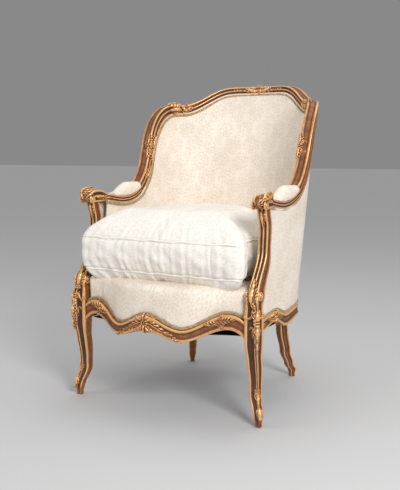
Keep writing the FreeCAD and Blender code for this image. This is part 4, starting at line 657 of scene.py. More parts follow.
def frame_outline(low, high, deep, back_cut):
    """The moulding's outline as (outward, away) corners, from the low edge over the face."""
    wide = high - low
    front = [(depth * wide / 34 - deep / 2, low + wide * across) for across, depth in FACE]
    back = [(deep / 2 - depth * back_cut * wide / 34, low + wide * across)
            for across, depth in FACE[::-1]]
    top = [(deep * share, high - cut) for share, cut in
           ((-0.41, 0.0), (-0.34, 0.2), (-0.28, 1.7), (-0.2, 2.7), (-0.08, 3.0), (0.08, 3.0),
            (0.2, 2.7), (0.28, 1.7), (0.34, 0.2), (0.41, 0.0))]
    low_side = [(deep * 0.3, low), (0, low), (-deep * 0.3, low)]
    return front + top + back + low_side


def frame_rings(first, last):
    """Rings of the moulding between two places along the frame."""
    rings = []
    for place in np.linspace(first, last, int(abs(last - first) / 2.2) + 2):
        point, outward, away = frame_station(place)
        low, high, deep = frame_edges(place)
        from_nose = HALF_LENGTH - abs(place)
        cut = 0.25 + 0.75 * float(smooth_step((abs(place) - JOINT_PLACE + 60) / 120))
        spots = closed_profile(frame_outline(low, high, deep, cut), FRAME_COLUMNS, 0.42)
        if from_nose < 16:
            round_off = math.sqrt(1 - (1 - max(from_nose, 0.0) / 16) ** 2)
            spots = spots.mean(0) + (spots - spots.mean(0)) * (0.35 + 0.65 * round_off)
        rings.append(point + spots[:, :1] * outward + spots[:, 1:] * away)
    return np.array(rings)


def column_of(rings, row, direction):
    """The column of a ring that lies furthest in a direction."""
    return int(np.argmax(rings[row] @ np.asarray(direction, float)))


CREST_RINGS = frame_rings(-CREST_JOINT, CREST_JOINT)
STILE_RINGS = frame_rings(CREST_JOINT + 0.15, JOINT_PLACE - 0.15)
ARM_RINGS = frame_rings(JOINT_PLACE + 0.15, HALF_LENGTH)
CREST_SKIN, STILE_SKIN, ARM_SKIN = Skin(CREST_RINGS), Skin(STILE_RINGS), Skin(ARM_RINGS)


def column_near(ring, axis, value, barred):
    """The column of a ring nearest to a value along an axis, leaving out those barred."""
    return int(np.argmin(abs(ring[:, axis] - value) + barred * 99))


def face_column(rings):
    """The column on the rib in the middle of the moulded face."""
    row = len(rings) // 2
    place = rings[row].mean(0)
    outward = wall_outward(place)
    ring = rings[row] - place
    near_face = ring @ outward < -12
    edge_wise = np.cross(rings[row + 1].mean(0) - place, outward)
    edge_wise /= np.linalg.norm(edge_wise)
    cross_place = np.where(near_face, abs(ring @ edge_wise), 1e9)
    return int(np.argmin(cross_place))


def lay_on(skin, face, rows_at, shapes):
    """Carved shapes given as (shape, mm along, mm across, turn) about a row of a skin."""
    laid = []
    for shape, along, across, turn in shapes:
        row = rows_at + along / skin.row_step[int(np.clip(rows_at, 0, len(skin.row_step) - 1))]
        here = int(np.clip(row, 0, len(skin.column_step) - 1))
        laid.append(skin.lay(shape, row, face + across / skin.column_step[here], turn))
    return laid


CREST_FACE, STILE_FACE, ARM_FACE = map(face_column, (CREST_RINGS, STILE_RINGS, ARM_RINGS))
CREST_MIDDLE = (len(CREST_RINGS) - 1) / 2
MIDDLE_RING = CREST_RINGS[len(CREST_RINGS) // 2]
LOW_SIDE = -1.0 if MIDDLE_RING[(CREST_FACE + 6) % FRAME_COLUMNS, 2] > MIDDLE_RING[CREST_FACE, 2] else 1.0
crest_carving = lay_on(CREST_SKIN, CREST_FACE, CREST_MIDDLE, [
    (rosette(12.5, 8, 6), 0, 0, 0),
    (leaf(30, 20, 7, 3, 0.9), 3, 9 * LOW_SIDE, 90 * LOW_SIDE),
    (leaf(24, 20, 7, 3, 0.9), 0, -9 * LOW_SIDE, -90 * LOW_SIDE),
    (leaf(60, 22, 7.5, 5, 0.8, 0.08), 9, 0, 0), (leaf(60, 22, 7.5, 5, 0.8, -0.08), -9, 0, 180),
    (scroll(46, 250, 7, 6), 12, 6, 12), (scroll(46, -250, 7, 6), 12, -6, -12),
    (scroll(46, -250, 7, 6), -12, 6, 168), (scroll(46, 250, 7, 6), -12, -6, 192),
    (leaf(46, 12, 5, 4), 62, 4, 4), (leaf(46, 12, 5, 4), -62, 4, 176)])
DIP_PLACE = place_near(RIGHT_KNOTS[4])
for sign in (1, -1):
    there = CREST_MIDDLE + sign * (DIP_PLACE - 4) / CREST_SKIN.row_step.mean()
    crest_carving += lay_on(CREST_SKIN, CREST_FACE, there, [
        (leaf(40, 24, 8, 4, 1.1), 0, 0, 90 - 75 * sign), (leaf(34, 18, 7, 3, 1.0), 0, 2, 90 + 75 * sign),
        (rosette(8.5, 8, 5), 0, 0, 0), (scroll(40, -240 * sign, 7, 6), 4 * sign, -7, 90 - 90 * sign),
        (scroll(34, 240 * sign, 6, 6), -4 * sign, 7, 90 + 90 * sign),
        (leaf(26, 13, 6, 3, 0.8), 0, -6 * LOW_SIDE, -90 * LOW_SIDE)])
crest = tube_piece("crest_rail_moulding", CREST_RINGS)
gild(store_relief(crest, CREST_SKIN.relief()))
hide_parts("crest_rail")
gild(carving("crest_rail_carving", crest_carving))


def stile_row(level):
    """The stile's row at a level."""
    return int(np.argmin(abs(STILE_RINGS.mean(1)[:, 2] - level)))


STILE_AWAY = column_of(STILE_RINGS, stile_row(776), (0, -1, 0))
stile_carving = []
for column in (STILE_FACE, STILE_AWAY):
    stile_carving += lay_on(STILE_SKIN, column, stile_row(776), [
        (rosette(10.5, 8, 5), 0, 0, 0), (leaf(38, 22, 7, 4, 0.8), 7, 0, 0),
        (leaf(38, 22, 7, 4, 0.8), -7, 0, 180),
        (scroll(34, 240, 6, 6), 8, 6, 20), (scroll(34, -240, 6, 6), -8, 6, 160),
        (scroll(34, -240, 6, 6), 8, -6, -20), (scroll(34, 240, 6, 6), -8, -6, 200)])
    stile_carving += lay_on(STILE_SKIN, column, 3, [
        (leaf(50, 26, 8, 4, 1.0), -2, 0, 0), (leaf(34, 12, 6, 3), 2, 8, 14),
        (leaf(34, 12, 6, 3), 2, -8, -14), (rosette(8, 7, 5), 2, 0, 0)])
stile_carving += lay_on(STILE_SKIN, STILE_FACE, len(STILE_RINGS) - 26, [
    (leaf(46, 16, 5, 4, 0.6), 0, 0, 180), (leaf(30, 12, 5, 3), 4, 6, 170),
    (leaf(30, 12, 5, 3), 4, -6, 190)])
both_sides("back_stile_moulding", STILE_RINGS, "back_stile", stile_carving)

ARM_TOP = column_of(ARM_RINGS, len(ARM_RINGS) - 22, (0, 0, 1))
ARM_ROWS = len(ARM_RINGS) - 1
arm_carving = lay_on(ARM_SKIN, ARM_TOP, ARM_ROWS - 6, [
    (leaf(60, 30, 8, 5, 1.1), 0, 0, 180), (leaf(46, 16, 6, 4), -2, 12, 172),
    (leaf(46, 16, 6, 4), -2, -12, 188), (bead(5, 5), -62, 0, 0), (leaf(16, 20, 6, 2, 0.6), 0, 0, 0)])
arm_carving += lay_on(ARM_SKIN, ARM_FACE, ARM_ROWS - 24, [
    (leaf(60, 18, 5, 5, 0.5), -4, 0, 180), (bead(4, 4), 2, 0, 0)])


def volute(centre, across, radius, turns, thick, rise):
    """A spiral band on a flat side: its centre, the direction out of that side, and its size."""
    t = np.linspace(0, 1, 90)
    angle = 2 * np.pi * turns * t
    reach = radius * (1 - 0.8 * t ** 0.8)
    girth = thick / 2 * (1 - 0.5 * t)
    girth[:4] *= (0.4, 0.7, 0.85, 0.95)
    ring = np.linspace(0, 2 * np.pi, 12, endpoint=False)
    far = reach[:, None] + np.cos(ring)[None] * girth[:, None]
    out = (np.sin(ring)[None] * girth[:, None]) * rise / (thick / 2) + rise * 0.4 * t[:, None]
    points = np.stack([np.broadcast_to(out * across, far.shape), far * np.cos(angle + 2.2)[:, None],
                       far * np.sin(angle + 2.2)[:, None]], -1) + centre
    return points, tube_faces(90, 12)


def boss(centre, across, radius, rise):
    """A round button in the eye of a volute."""
    angles = np.linspace(0, 2 * np.pi, 20, endpoint=False)
    share = np.concatenate([np.sin(np.linspace(0.1, np.pi / 2, 6)), [1.0]])
    r, a = np.meshgrid(share * radius, angles, indexing="ij")
    h = rise * np.sqrt((1 - (r / radius) ** 2).clip(0))
    h[-1] = -2
    return np.stack([h * across, r * np.cos(a), r * np.sin(a)], -1) + centre, tube_faces(7, 20)


for across in (-1, 1):
    heart = np.array([NOSE[0] + 19.5 * across, -257.0, NOSE[2]])
    arm_carving += [volute(heart, across, 13.5, 1.6, 6.5, 3.2), boss(heart, across, 4.5, 4.5)]
both_sides("arm_rail_moulding", ARM_RINGS, "arm_rail", arm_carving)


# ARM SUPPORTS. Scrolled forward at the foot, swept back, then forward again under the
# handholds. They are moulded like the frame, with a leaf and a volute where they leave the seat.
SUPPORT_LOW, SUPPORT_HIGH = LEG_TOP + 0.2, 610.0
SUPPORT_OUTLINE = [(-1, -1), (0, -1), (1, -1), (1.0, -0.75), (0.9, -0.6), (0.8, -0.4), (0.78, 0),
                   (0.8, 0.4), (0.9, 0.6), (1.0, 0.74), (1.0, 0.92), (0.9, 1.0), (0.74, 1.0),
                   (0.62, 0.9), (0.45, 0.8), (0.22, 0.86), (0.1, 1.0), (-0.1, 1.0), (-0.22, 0.86),
                   (-0.45, 0.8), (-0.62, 0.9), (-0.74, 1.0), (-0.9, 1.0), (-1.0, 0.92), (-1.0, 0.74),
                   (-0.9, 0.6), (-0.8, 0.4), (-0.78, 0), (-0.8, -0.4), (-0.9, -0.6), (-1.0, -0.75)]
SUPPORT_COLUMNS = 84


def support_form(level):
    """How far back the support's middle lies at a level, and its half depth and half width."""
    share = np.clip((level - LEG_TOP) / (SUPPORT_HIGH - LEG_TOP), 0, 1)
    back = 70 * eased(share, [(0, 0), (0.56, 0.93), (0.8, 1), (1, 0.82)])
    deep = 12.6 + 11.4 * eased(share, [(0, 0.5), (0.12, 1), (0.3, 0.85), (0.62, 0), (1, 0.15)])
    wide = 14 + 6.8 * eased(share, [(0, 1), (0.3, 0), (0.85, 0), (1, 0.1)])
    return float(back), float(deep), float(wide)


def support_rings():
    """Rings of the right arm support, from the handhold down to the leg's own outline."""
    plain = closed_profile(SUPPORT_OUTLINE, SUPPORT_COLUMNS, 0.45)
    knee = closed_profile(LEG_PROFILE, SUPPORT_COLUMNS)
    rings = []
    for level in np.linspace(SUPPORT_HIGH, SUPPORT_LOW, 136):
        merged = 1 - smooth_step((level - SUPPORT_LOW) / 34)
        outline = plain * (1 - merged) + knee * 0.97 * merged
        back, deep, wide = support_form(level)
        rings.append(np.column_stack([LEG_OUT + outline[:, 0] * wide,
                                      back - LEG_FRONT - outline[:, 1] * deep,
                                      np.full(SUPPORT_COLUMNS, level)]))
    return np.array(rings)


SUPPORT_RINGS = support_rings()
SUPPORT_SKIN = Skin(SUPPORT_RINGS)
HALF_WAY = SUPPORT_RINGS[70]
SUPPORT_FACE = column_near(HALF_WAY, 0, LEG_OUT, HALF_WAY[:, 1] > -230)


def support_row(level):
    """The arm support's row at a level."""
    return (SUPPORT_HIGH - level) / (SUPPORT_HIGH - SUPPORT_LOW) * (len(SUPPORT_RINGS) - 1)


support_carving = lay_on(SUPPORT_SKIN, SUPPORT_FACE, support_row(352), [
    (leaf(70, 30, 8, 5, 1.0), 0, 0, 180), (leaf(44, 15, 6, 4), -4, 12, 172),
    (leaf(44, 15, 6, 4), -4, -12, 188), (rosette(9, 7, 5), 4, 0, 0), (leaf(18, 20, 6, 2), 0, 0, 0)])
support_carving += lay_on(SUPPORT_SKIN, SUPPORT_FACE, 4, [
    (leaf(48, 20, 5, 4, 0.5), 0, 0, 0), (leaf(30, 9, 4, 3), 0, 8, 5), (leaf(30, 9, 4, 3), 0, -8, -5)])
for across in (-1, 1):
    heart = np.array([LEG_OUT + 18.5 * across, -288.0, 372.0])
    support_carving += [volute(heart, across, 15.0, 1.7, 7.5, 3.6), boss(heart, across, 4.6, 4.8)]
both_sides("arm_support_moulding", SUPPORT_RINGS, "arm_support", support_carving)


# SEAT RAILS. The front rail is bowed in plan and wavy above and below, with a bead along each
# edge, a leaf and shell in the middle and sprays near the ends. The side rails follow the round
# back, and a plain rail joins the back legs.
FRONT_MOST = -392.0
SWELL_HALF, SWELL_RISE = 150.0, 41.0
FLANK_WIDE, FLANK_FALL = 123.9, 45.0


def front_plan(x):
    """How far forward the front rail's face lies at places across the chair: a round swell in
    the middle and a hollow flank on each side."""
    x = abs(np.asarray(x, float))
    swell = (SWELL_HALF ** 2 + SWELL_RISE ** 2) / (2 * SWELL_RISE)
    start = math.asin(SWELL_HALF / swell)
    chord, chord_turn = math.hypot(FLANK_WIDE, FLANK_FALL), math.atan2(FLANK_FALL, FLANK_WIDE)
    flank = chord / (2 * math.sin(start - chord_turn))
    centre = np.array([SWELL_HALF + flank * math.sin(start),
                       FRONT_MOST + SWELL_RISE - flank * math.cos(start)])
    inner = FRONT_MOST + swell - np.sqrt(swell ** 2 - np.minimum(x, SWELL_HALF) ** 2)
    outer = centre[1] + np.sqrt(flank ** 2 - (np.maximum(x, SWELL_HALF) - centre[0]) ** 2)
    return np.where(x <= SWELL_HALF, inner, outer)


def wavy(at, keys, last):
    """A wavy edge, level at each key, that falls away beyond them to a last key."""
    at = np.asarray(at, float)
    (start, level), (end, fall) = keys[-1], last
    beyond = level + (fall - level) * np.clip((at - start) / (end - start), 0, 1) ** 2
    return np.where(at > start, beyond, eased(at, keys))


RAIL_FACE = [(0.0, 3.0), (0.03, 1.0), (0.1, 0.0), (0.18, 0.1), (0.24, 1.4), (0.3, 2.4), (0.38, 2.9),
             (0.5, 3.0), (0.62, 2.8), (0.72, 2.2), (0.78, 1.3), (0.83, 0.1), (0.91, 0.0),
             (0.97, 1.0), (1.0, 3.0)]
RAIL_COLUMNS = 84


def rail_rings(faces, outward, low, high, thick):
    """Rings of a rail from its face line, directions out of it, edge levels and thickness."""
    rings = []
    for spot, out, bottom, top in zip(faces, outward, low, high):
        corners = [(-depth, bottom + (top - bottom) * share) for share, depth in RAIL_FACE]
        corners += [(-thick * 0.45, top), (-thick + 1.5, top), (-thick, top - 1.5),
                    (-thick, (low[0] + top) / 2), (-thick, bottom + 1.5), (-thick + 1.5, bottom),
                    (-thick * 0.45, bottom)]
        ring = closed_profile(corners, RAIL_COLUMNS, 0.4)
        rings.append(np.column_stack([spot[0] + out[0] * ring[:, 0], spot[1] + out[1] * ring[:, 0],
                                      ring[:, 1]]))
    return np.array(rings)


RAIL_END = SWELL_HALF + FLANK_WIDE
FRONT_THICK, SIDE_THICK = 33.0, 26.7
RAIL_OUT, LEG_REAR = 17.0, -268.9
rail_x = np.linspace(-RAIL_END, RAIL_END, 260)
rail_y = front_plan(rail_x)
slope = np.gradient(rail_y, rail_x)
rail_out = np.column_stack([slope, -np.ones_like(slope)]) / np.sqrt(1 + slope ** 2)[:, None]
high_edge = wavy(abs(rail_x), [(0, 303), (108, 267), (228, 315)], (RAIL_END, 297))
low_edge = wavy(abs(rail_x), [(0, 262), (108, 234), (228, 272)], (RAIL_END, 248))
straight_out = smooth_step((abs(rail_x) - 200) / 60)[:, None]
rail_out = rail_out * (1 - straight_out) + np.array([0, -1.0]) * straight_out
FRONT_RINGS = rail_rings(np.column_stack([rail_x, rail_y]), rail_out, low_edge, high_edge,
                         FRONT_THICK)
FRONT_SKIN = Skin(FRONT_RINGS)
MIDDLE_SECTION = FRONT_RINGS[len(FRONT_RINGS) // 2]
FRONT_FACE = column_near(MIDDLE_SECTION, 2, 279, MIDDLE_SECTION[:, 1] > -380)
FRONT_UP = 1 if MIDDLE_SECTION[(FRONT_FACE + 3) % RAIL_COLUMNS, 2] > 279 else -1


def on_front(x, level, shapes):
    """Carving on the front rail about a place across and a level; positive across is up."""
    row = (x + RAIL_END) / (2 * RAIL_END) * (len(FRONT_RINGS) - 1)
    ring = FRONT_RINGS[int(round(row))]
    face = column_near(ring, 2, level, ring[:, 1] > ring[:, 1].min() + 9)
    return lay_on(FRONT_SKIN, face, row, [
        (shape, along, across * FRONT_UP, turn * FRONT_UP) for shape, along, across, turn in shapes])


front_carving = on_front(0, 283, [
    (rosette(14, 9, 7), 0, 0, 0), (leaf(34, 26, 8, 3, 1.0), 0, 6, 90),
    (leaf(44, 34, 8, 4, 1.0), 0, -4, -90),
    (leaf(66, 24, 8, 5, 0.9, -0.12), 8, 2, 0), (leaf(66, 24, 8, 5, 0.9, 0.12), -8, 2, 180),
    (scroll(60, 260, 8, 7), 10, 10, 14), (scroll(60, -260, 8, 7), -10, 10, 166),
    (scroll(50, -250, 8, 7), 10, -8, -22), (scroll(50, 250, 8, 7), -10, -8, 202),
    (leaf(50, 14, 6, 4, 0.5, -0.1), 62, -2, -14), (leaf(50, 14, 6, 4, 0.5, 0.1), -62, -2, 194)])
for side in (1, -1):
    front_carving += on_front(side * 200, 290, [
        (leaf(58, 20, 7, 5, 0.8), 0, 0, 90 - 80 * side), (leaf(46, 18, 7, 4, 0.8), 0, 0, 90 + 70 * side),
        (leaf(34, 12, 6, 3), 0, 5, 90 - 40 * side), (leaf(30, 12, 6, 3), 0, -6, -90 + 60 * side),
        (rosette(8, 7, 5), 0, 0, 0), (scroll(40, -240 * side, 6, 6), 6 * side, 4, 90 - 90 * side)])
front = tube_piece("front_rail_moulding", FRONT_RINGS)
gild(store_relief(front, FRONT_SKIN.relief()))
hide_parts("front_seat_rail")
gild(carving("front_rail_carving", front_carving))

BACK_TURN = 33.0
LOW_PLAN = wall_plan(SEAT_LEVEL)


def side_line(first, last, outward, count):
    """Points and outward directions of the wall's plan from a place on the right side, or a
    turn of less than 90, to another."""
    spots = [wall_spot(turn, SEAT_LEVEL, outward) for turn in np.linspace(first, last, count)]
    return np.array(spots)[:, :2], np.array([wall_outward(spot)[:2] for spot in spots])


SIDE_START = 90 + (SIDE_END - LEG_REAR) / MM_PER_TURN
LEG_ARC = math.degrees(16.0 / (LOW_PLAN[3] + 10))
SIDE_TOP = [(LEG_REAR, 288), (-140, 301), (-58, 281), (30, 291)]
SIDE_LOW = [(LEG_REAR, 252), (-140, 272), (-58, 243), (30, 257)]
side_face, side_out = side_line(SIDE_START, BACK_TURN + LEG_ARC, RAIL_OUT, 230)
SIDE_RINGS = rail_rings(side_face, side_out, eased(side_face[:, 1], SIDE_LOW),
                        eased(side_face[:, 1], SIDE_TOP), SIDE_THICK)
SIDE_SKIN = Skin(SIDE_RINGS)


def on_side(y, level, shapes):
    """Carving on the side rail about a place from front to back and a level."""
    row = int(np.argmin(abs(side_face[:, 1] - y)))
    ring = SIDE_RINGS[row]
    face = column_near(ring, 2, level, ring[:, 0] < ring[:, 0].max() - 9)
    return lay_on(SIDE_SKIN, face, row, shapes)


side_carving = on_side(-140, 287, [
    (rosette(11, 8, 6), 0, 0, 0), (leaf(46, 20, 7, 4, 0.8), 6, 0, 6), (leaf(46, 20, 7, 4, 0.8), -6, 0, 174),
    (scroll(36, 240, 6, 6), 8, 6, 20), (scroll(36, -240, 6, 6), -8, 6, 160),
    (leaf(18, 14, 6, 2), 0, 5, 90), (leaf(18, 14, 6, 2), 0, -5, -90)])
side_carving += on_side(-236, 273, [(leaf(44, 16, 6, 4, 0.7), -18, 0, 0)])
both_sides("side_rail_moulding", SIDE_RINGS, "side_seat_rail", side_carving)
BACK_RAIL_LOW, BACK_RAIL_TOP = 236.0, 291.0
back_line, back_out = side_line(BACK_TURN - LEG_ARC, -BACK_TURN + LEG_ARC, RAIL_OUT, 90)
BACK_RAIL_RINGS = rail_rings(back_line, back_out, np.full(90, BACK_RAIL_LOW),
                             np.full(90, BACK_RAIL_TOP), SIDE_THICK)
back_rail = tube_piece("back_rail_moulding", BACK_RAIL_RINGS)
gild(store_relief(back_rail, Skin(BACK_RAIL_RINGS).relief()))
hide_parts("back_seat_rail")


# BACK LEGS. Shorter cabriole legs set in the round of the back and turned out behind. Each is
# one piece with the hidden post that carries the crest rail, which stays as the bench made it.
BACK_LEG_TOP = 300.0
BACK_RAY = np.array([math.sin(math.radians(BACK_TURN)), math.cos(math.radians(BACK_TURN))])


def back_leg_rings():
    """Rings of the right back leg from the seat down to the floor."""
    outline = closed_profile(SUPPORT_OUTLINE, SUPPORT_COLUMNS, 0.45)
    side = np.array([BACK_RAY[1], -BACK_RAY[0]])
    rings = []
    for level in np.linspace(BACK_LEG_TOP, 0.0, 151):
        kick = 55 * float(eased(level, [(0, 1), (22, 1), (45, 0.76), (90, 0.48), (165, 0.24),
                                        (240, 0.03), (300, 0)]))
        half = float(eased(level, [(8, 7.8), (32, 11.5), (90, 13.7), (170, 15.5)]))
        middle = LOW_PLAN[4] + BACK_RAY * (LOW_PLAN[3] + 6 + kick)
        plan = middle + outline[:, :1] * half * side + outline[:, 1:] * half * BACK_RAY
        rings.append(np.column_stack([plan, np.full(SUPPORT_COLUMNS, level)]))
    return np.array(rings)


BACK_LEG_RINGS = back_leg_rings()
BACK_LEG_SKIN = Skin(BACK_LEG_RINGS)
back_leg_face = column_of(BACK_LEG_RINGS, len(BACK_LEG_RINGS) // 2, (*BACK_RAY, 0))
back_leg_carving = lay_on(BACK_LEG_SKIN, back_leg_face, 131, [(leaf(34, 18, 4, 3, 0.6), 0, 0, 180)])


def post_of(node):
    """The hidden post of a back leg, cut from a copy of the frame's node above the seat."""
    source = bpy.data.objects[node]
    copy = source.data.copy()
    copy.transform(source.matrix_world)
    work = bmesh.new()
    work.from_mesh(copy)
    bmesh.ops.bisect_plane(work, geom=work.verts[:] + work.edges[:] + work.faces[:],
                           plane_co=(0, 0, BACK_LEG_TOP * 0.001), plane_no=(0, 0, 1), clear_inner=True)
    bmesh.ops.holes_fill(work, edges=[edge for edge in work.edges if edge.is_boundary])
    work.to_mesh(copy)
    work.free()
    return placed(f"{node}_post", copy)


def make_wood(name, light, dark, rough):
    """Sawn beech: long grain, rays and saw marks."""
    material, tree, surface = new_material(name)
    place = tree.nodes.new("ShaderNodeTexCoord").outputs["Object"]
    long_way = wire(tree, "ShaderNodeMapping", {0: place, 3: (90.0, 90.0, 6.0)}).outputs[0]
    grain = wire(tree, "ShaderNodeTexNoise", {"Vector": long_way, "Scale": 1.0, "Detail": 5.0,
                                              "Roughness": 0.6, "Distortion": 0.4}).outputs[0]
    rays = wire(tree, "ShaderNodeTexNoise", {"Vector": long_way, "Scale": 7.0, "Detail": 2.0}).outputs[0]
    mixed = math_of(tree, "ADD", grain, math_of(tree, "MULTIPLY", rays, 0.4))
    tree.links.new(ramp(tree, mixed, [(0.35, dark), (0.95, light)]), surface.inputs["Base Color"])
    tree.links.new(wire(tree, "ShaderNodeMapRange", {"Value": mixed, "To Min": rough - 0.1,
                                                     "To Max": rough + 0.1}).outputs[0],
                   surface.inputs["Roughness"])
    bump = wire(tree, "ShaderNodeBump", {"Strength": 0.4, "Distance": 0.0008, "Height": mixed})
    tree.links.new(bump.outputs[0], surface.inputs["Normal"])
    return material


BARE_WOOD = make_wood("bare_beech", (0.42, 0.27, 0.15), (0.20, 0.11, 0.055), 0.75)
for side, flip in (("right", 1), ("left", -1)):
    leg = tube_piece(f"back_leg_carved_{side}", BACK_LEG_RINGS * [flip, 1, 1])
    gild(store_relief(leg, BACK_LEG_SKIN.relief()))
    gild(carving(f"back_leg_carving_{side}", back_leg_carving, flip < 0))
    post = post_of(f"back_leg_{side}")
    give_finish(post, BARE_WOOD)
    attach(post, "chair")
    for part in (leg, post):
        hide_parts(f"back_leg_{side}")
for node in ("loose_tenons", "lower_back_rail", "corner_blocks", "arm_tack_rail_right",
             "arm_tack_rail_left"):
    give_finish(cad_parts[node], BARE_WOOD)


# DAMASK. Ivory silk woven tone on tone in a half-drop of ogees, flowers and leaves: the figure
# is matt and the ground has the satin's sheen. Every cover is cut from it.
def damask_figure():
    """Where the woven figure lies, from 0 on the ground to 1 on the figure."""
    group, given, result = shader_group("damask_figure", [
        ("NodeSocketVector", "Place", None), ("NodeSocketFloat", "Repeat", 0.075)],
        [("NodeSocketFloat", "Figure"), ("NodeSocketFloat", "Thread")])
    sway = wire(group, "ShaderNodeTexNoise", {"Vector": given.outputs["Place"], "Scale": 60.0,
                                              "Detail": 2.0}).outputs[1]
    sway = wire(group, "ShaderNodeVectorMath", {0: sway, 1: (0.5, 0.5, 0.5)}, operation="SUBTRACT")
    sway = wire(group, "ShaderNodeVectorMath", {0: sway.outputs[0], 1: (0.022, 0.022, 0.0)},
                operation="MULTIPLY")
    place = wire(group, "ShaderNodeVectorMath", {0: given.outputs["Place"], 1: sway.outputs[0]},
                 operation="ADD").outputs[0]
    parts = wire(group, "ShaderNodeSeparateXYZ", {0: place}).outputs
    across = math_of(group, "DIVIDE", parts[0], given.outputs["Repeat"])
    up = math_of(group, "DIVIDE", parts[1], math_of(group, "MULTIPLY", given.outputs["Repeat"], 1.5))
    figure = None
    for shift in (0.0, 0.5):
        x = math_of(group, "SUBTRACT", math_of(group, "FRACT", math_of(group, "ADD", across, shift)), 0.5)
        y = math_of(group, "SUBTRACT", math_of(group, "FRACT", math_of(group, "ADD", up, shift)), 0.5)
        y = math_of(group, "MULTIPLY", y, 1.5)
        angle = math_of(group, "ARCTAN2", x, y)
        away = math_of(group, "SQRT", math_of(group, "ADD", math_of(group, "MULTIPLY", x, x),
                                              math_of(group, "MULTIPLY", y, y)))
        for petals, middle, reach, thick in ((6.0, 0.08, 0.05, 0.045), (10.0, 0.22, 0.05, 0.05),
                                             (14.0, 0.36, 0.035, 0.035)):
            wave = math_of(group, "ABSOLUTE", math_of(group, "SINE", math_of(
                group, "MULTIPLY", angle, petals / 2)))
            edge = math_of(group, "ADD", math_of(group, "MULTIPLY", wave, reach), middle)
            gap = math_of(group, "ABSOLUTE", math_of(group, "SUBTRACT", away, edge))
            leafy = math_of(group, "MULTIPLY", wave, thick)
            short = math_of(group, "SUBTRACT", leafy, gap)
            band = wire(group, "ShaderNodeMapRange", {"Value": short, "From Min": -0.012,
                                                      "From Max": 0.012}).outputs[0]
            figure = band if figure is None else math_of(group, "MAXIMUM", figure, band)
    thread = wire(group, "ShaderNodeTexWave", {"Vector": given.outputs["Place"], "Scale": 330.0,
                                               "Distortion": 0.6}, bands_direction="Y").outputs[1]
    group.links.new(figure, result.inputs["Figure"])
    group.links.new(thread, result.inputs["Thread"])
    return group


DAMASK_GROUP = damask_figure()


def make_damask(name, ground, figure, sheen, soil=0.08):
    """A damask in two tones over the group's figure, with slubs, soft soiling and sheen."""
    material, tree, surface = new_material(name)
    place = wire(tree, "ShaderNodeUVMap", uv_map="cut").outputs[0]
    woven = wire(tree, "ShaderNodeGroup", node_tree=DAMASK_GROUP)
    tree.links.new(place, woven.inputs["Place"])
    body = tree.nodes.new("ShaderNodeTexCoord").outputs["Object"]
    cloud = wire(tree, "ShaderNodeTexNoise", {"Vector": body, "Scale": 9.0, "Detail": 4.0,
                                              "Roughness": 0.6}).outputs[0]
    tone = wire(tree, "ShaderNodeMix", {0: woven.outputs["Figure"], 6: (*ground, 1), 7: (*figure, 1)},
                data_type="RGBA").outputs[2]
    dull = wire(tree, "ShaderNodeMapRange", {"Value": cloud, "From Min": 0.4, "From Max": 0.8,
                                             "To Max": soil * 4}).outputs[0]
    soiled = wire(tree, "ShaderNodeMix", {0: dull, 6: tone, 7: (0.46, 0.34, 0.22, 1)},
                  data_type="RGBA").outputs[2]
    tree.links.new(soiled, surface.inputs["Base Color"])
    tree.links.new(wire(tree, "ShaderNodeMapRange", {"Value": woven.outputs["Figure"], "To Min": 0.46,
                                                     "To Max": 0.74}).outputs[0],
                   surface.inputs["Roughness"])
    surface.inputs["Sheen Weight"].default_value = sheen
    surface.inputs["Sheen Roughness"].default_value = 0.4
    height = math_of(tree, "ADD", math_of(tree, "MULTIPLY", woven.outputs["Thread"], 0.35),
                     math_of(tree, "MULTIPLY", woven.outputs["Figure"], 0.6))
    bump = wire(tree, "ShaderNodeBump", {"Strength": 0.35, "Distance": 0.0006, "Height": height})
    tree.links.new(bump.outputs[0], surface.inputs["Normal"])
    return material


DAMASK = make_damask("ivory_damask", (0.88, 0.80, 0.70), (0.80, 0.70, 0.585), 0.1)
CUSHION_DAMASK = make_damask("feather_damask", (0.90, 0.86, 0.80), (0.84, 0.785, 0.71), 0.1, 0.02)


def dress(piece, material, node, cut=None, body="chair"):
    """Gives a soft piece its cloth, its cut coordinates in metres and its body, and hides the node it
    stands for.
    """
    give_finish(piece, material)
    if cut is not None:
        layer = piece.data.uv_layers.get("cut") or piece.data.uv_layers.new(name="cut")
        corner = np.empty(len(piece.data.loops), int)
        piece.data.loops.foreach_get("vertex_index", corner)
        layer.data.foreach_set("uv", np.asarray(cut, np.float32)[corner].ravel())
    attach(piece, body)
    if node:
        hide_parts(node)
    return piece


def shell(name, front, back):
    """A closed shell from two grids of points, one over the other."""
    points = np.concatenate([front.reshape(-1, 3), back.reshape(-1, 3)])
    return outward_faces(make_piece(name, points, two_sided_faces(*front.shape[:2])))


# INSIDE BACK AND ARMS. Horsehair and linen over webbing, covered in damask drawn tight and
# tacked under the braid. They are nailed taut, so their fullness is shaped and not simulated.
def turn_arc(turns, level, outward=0.0):
    """Lengths along the wall's plan from the middle of the back, at turns."""
    spots = np.array([wall_spot(turn, level, outward) for turn in turns])
    run = np.concatenate([[0], np.cumsum(np.linalg.norm(np.diff(spots, axis=0), axis=1))])
    return run - np.interp(0.0, turns, run)


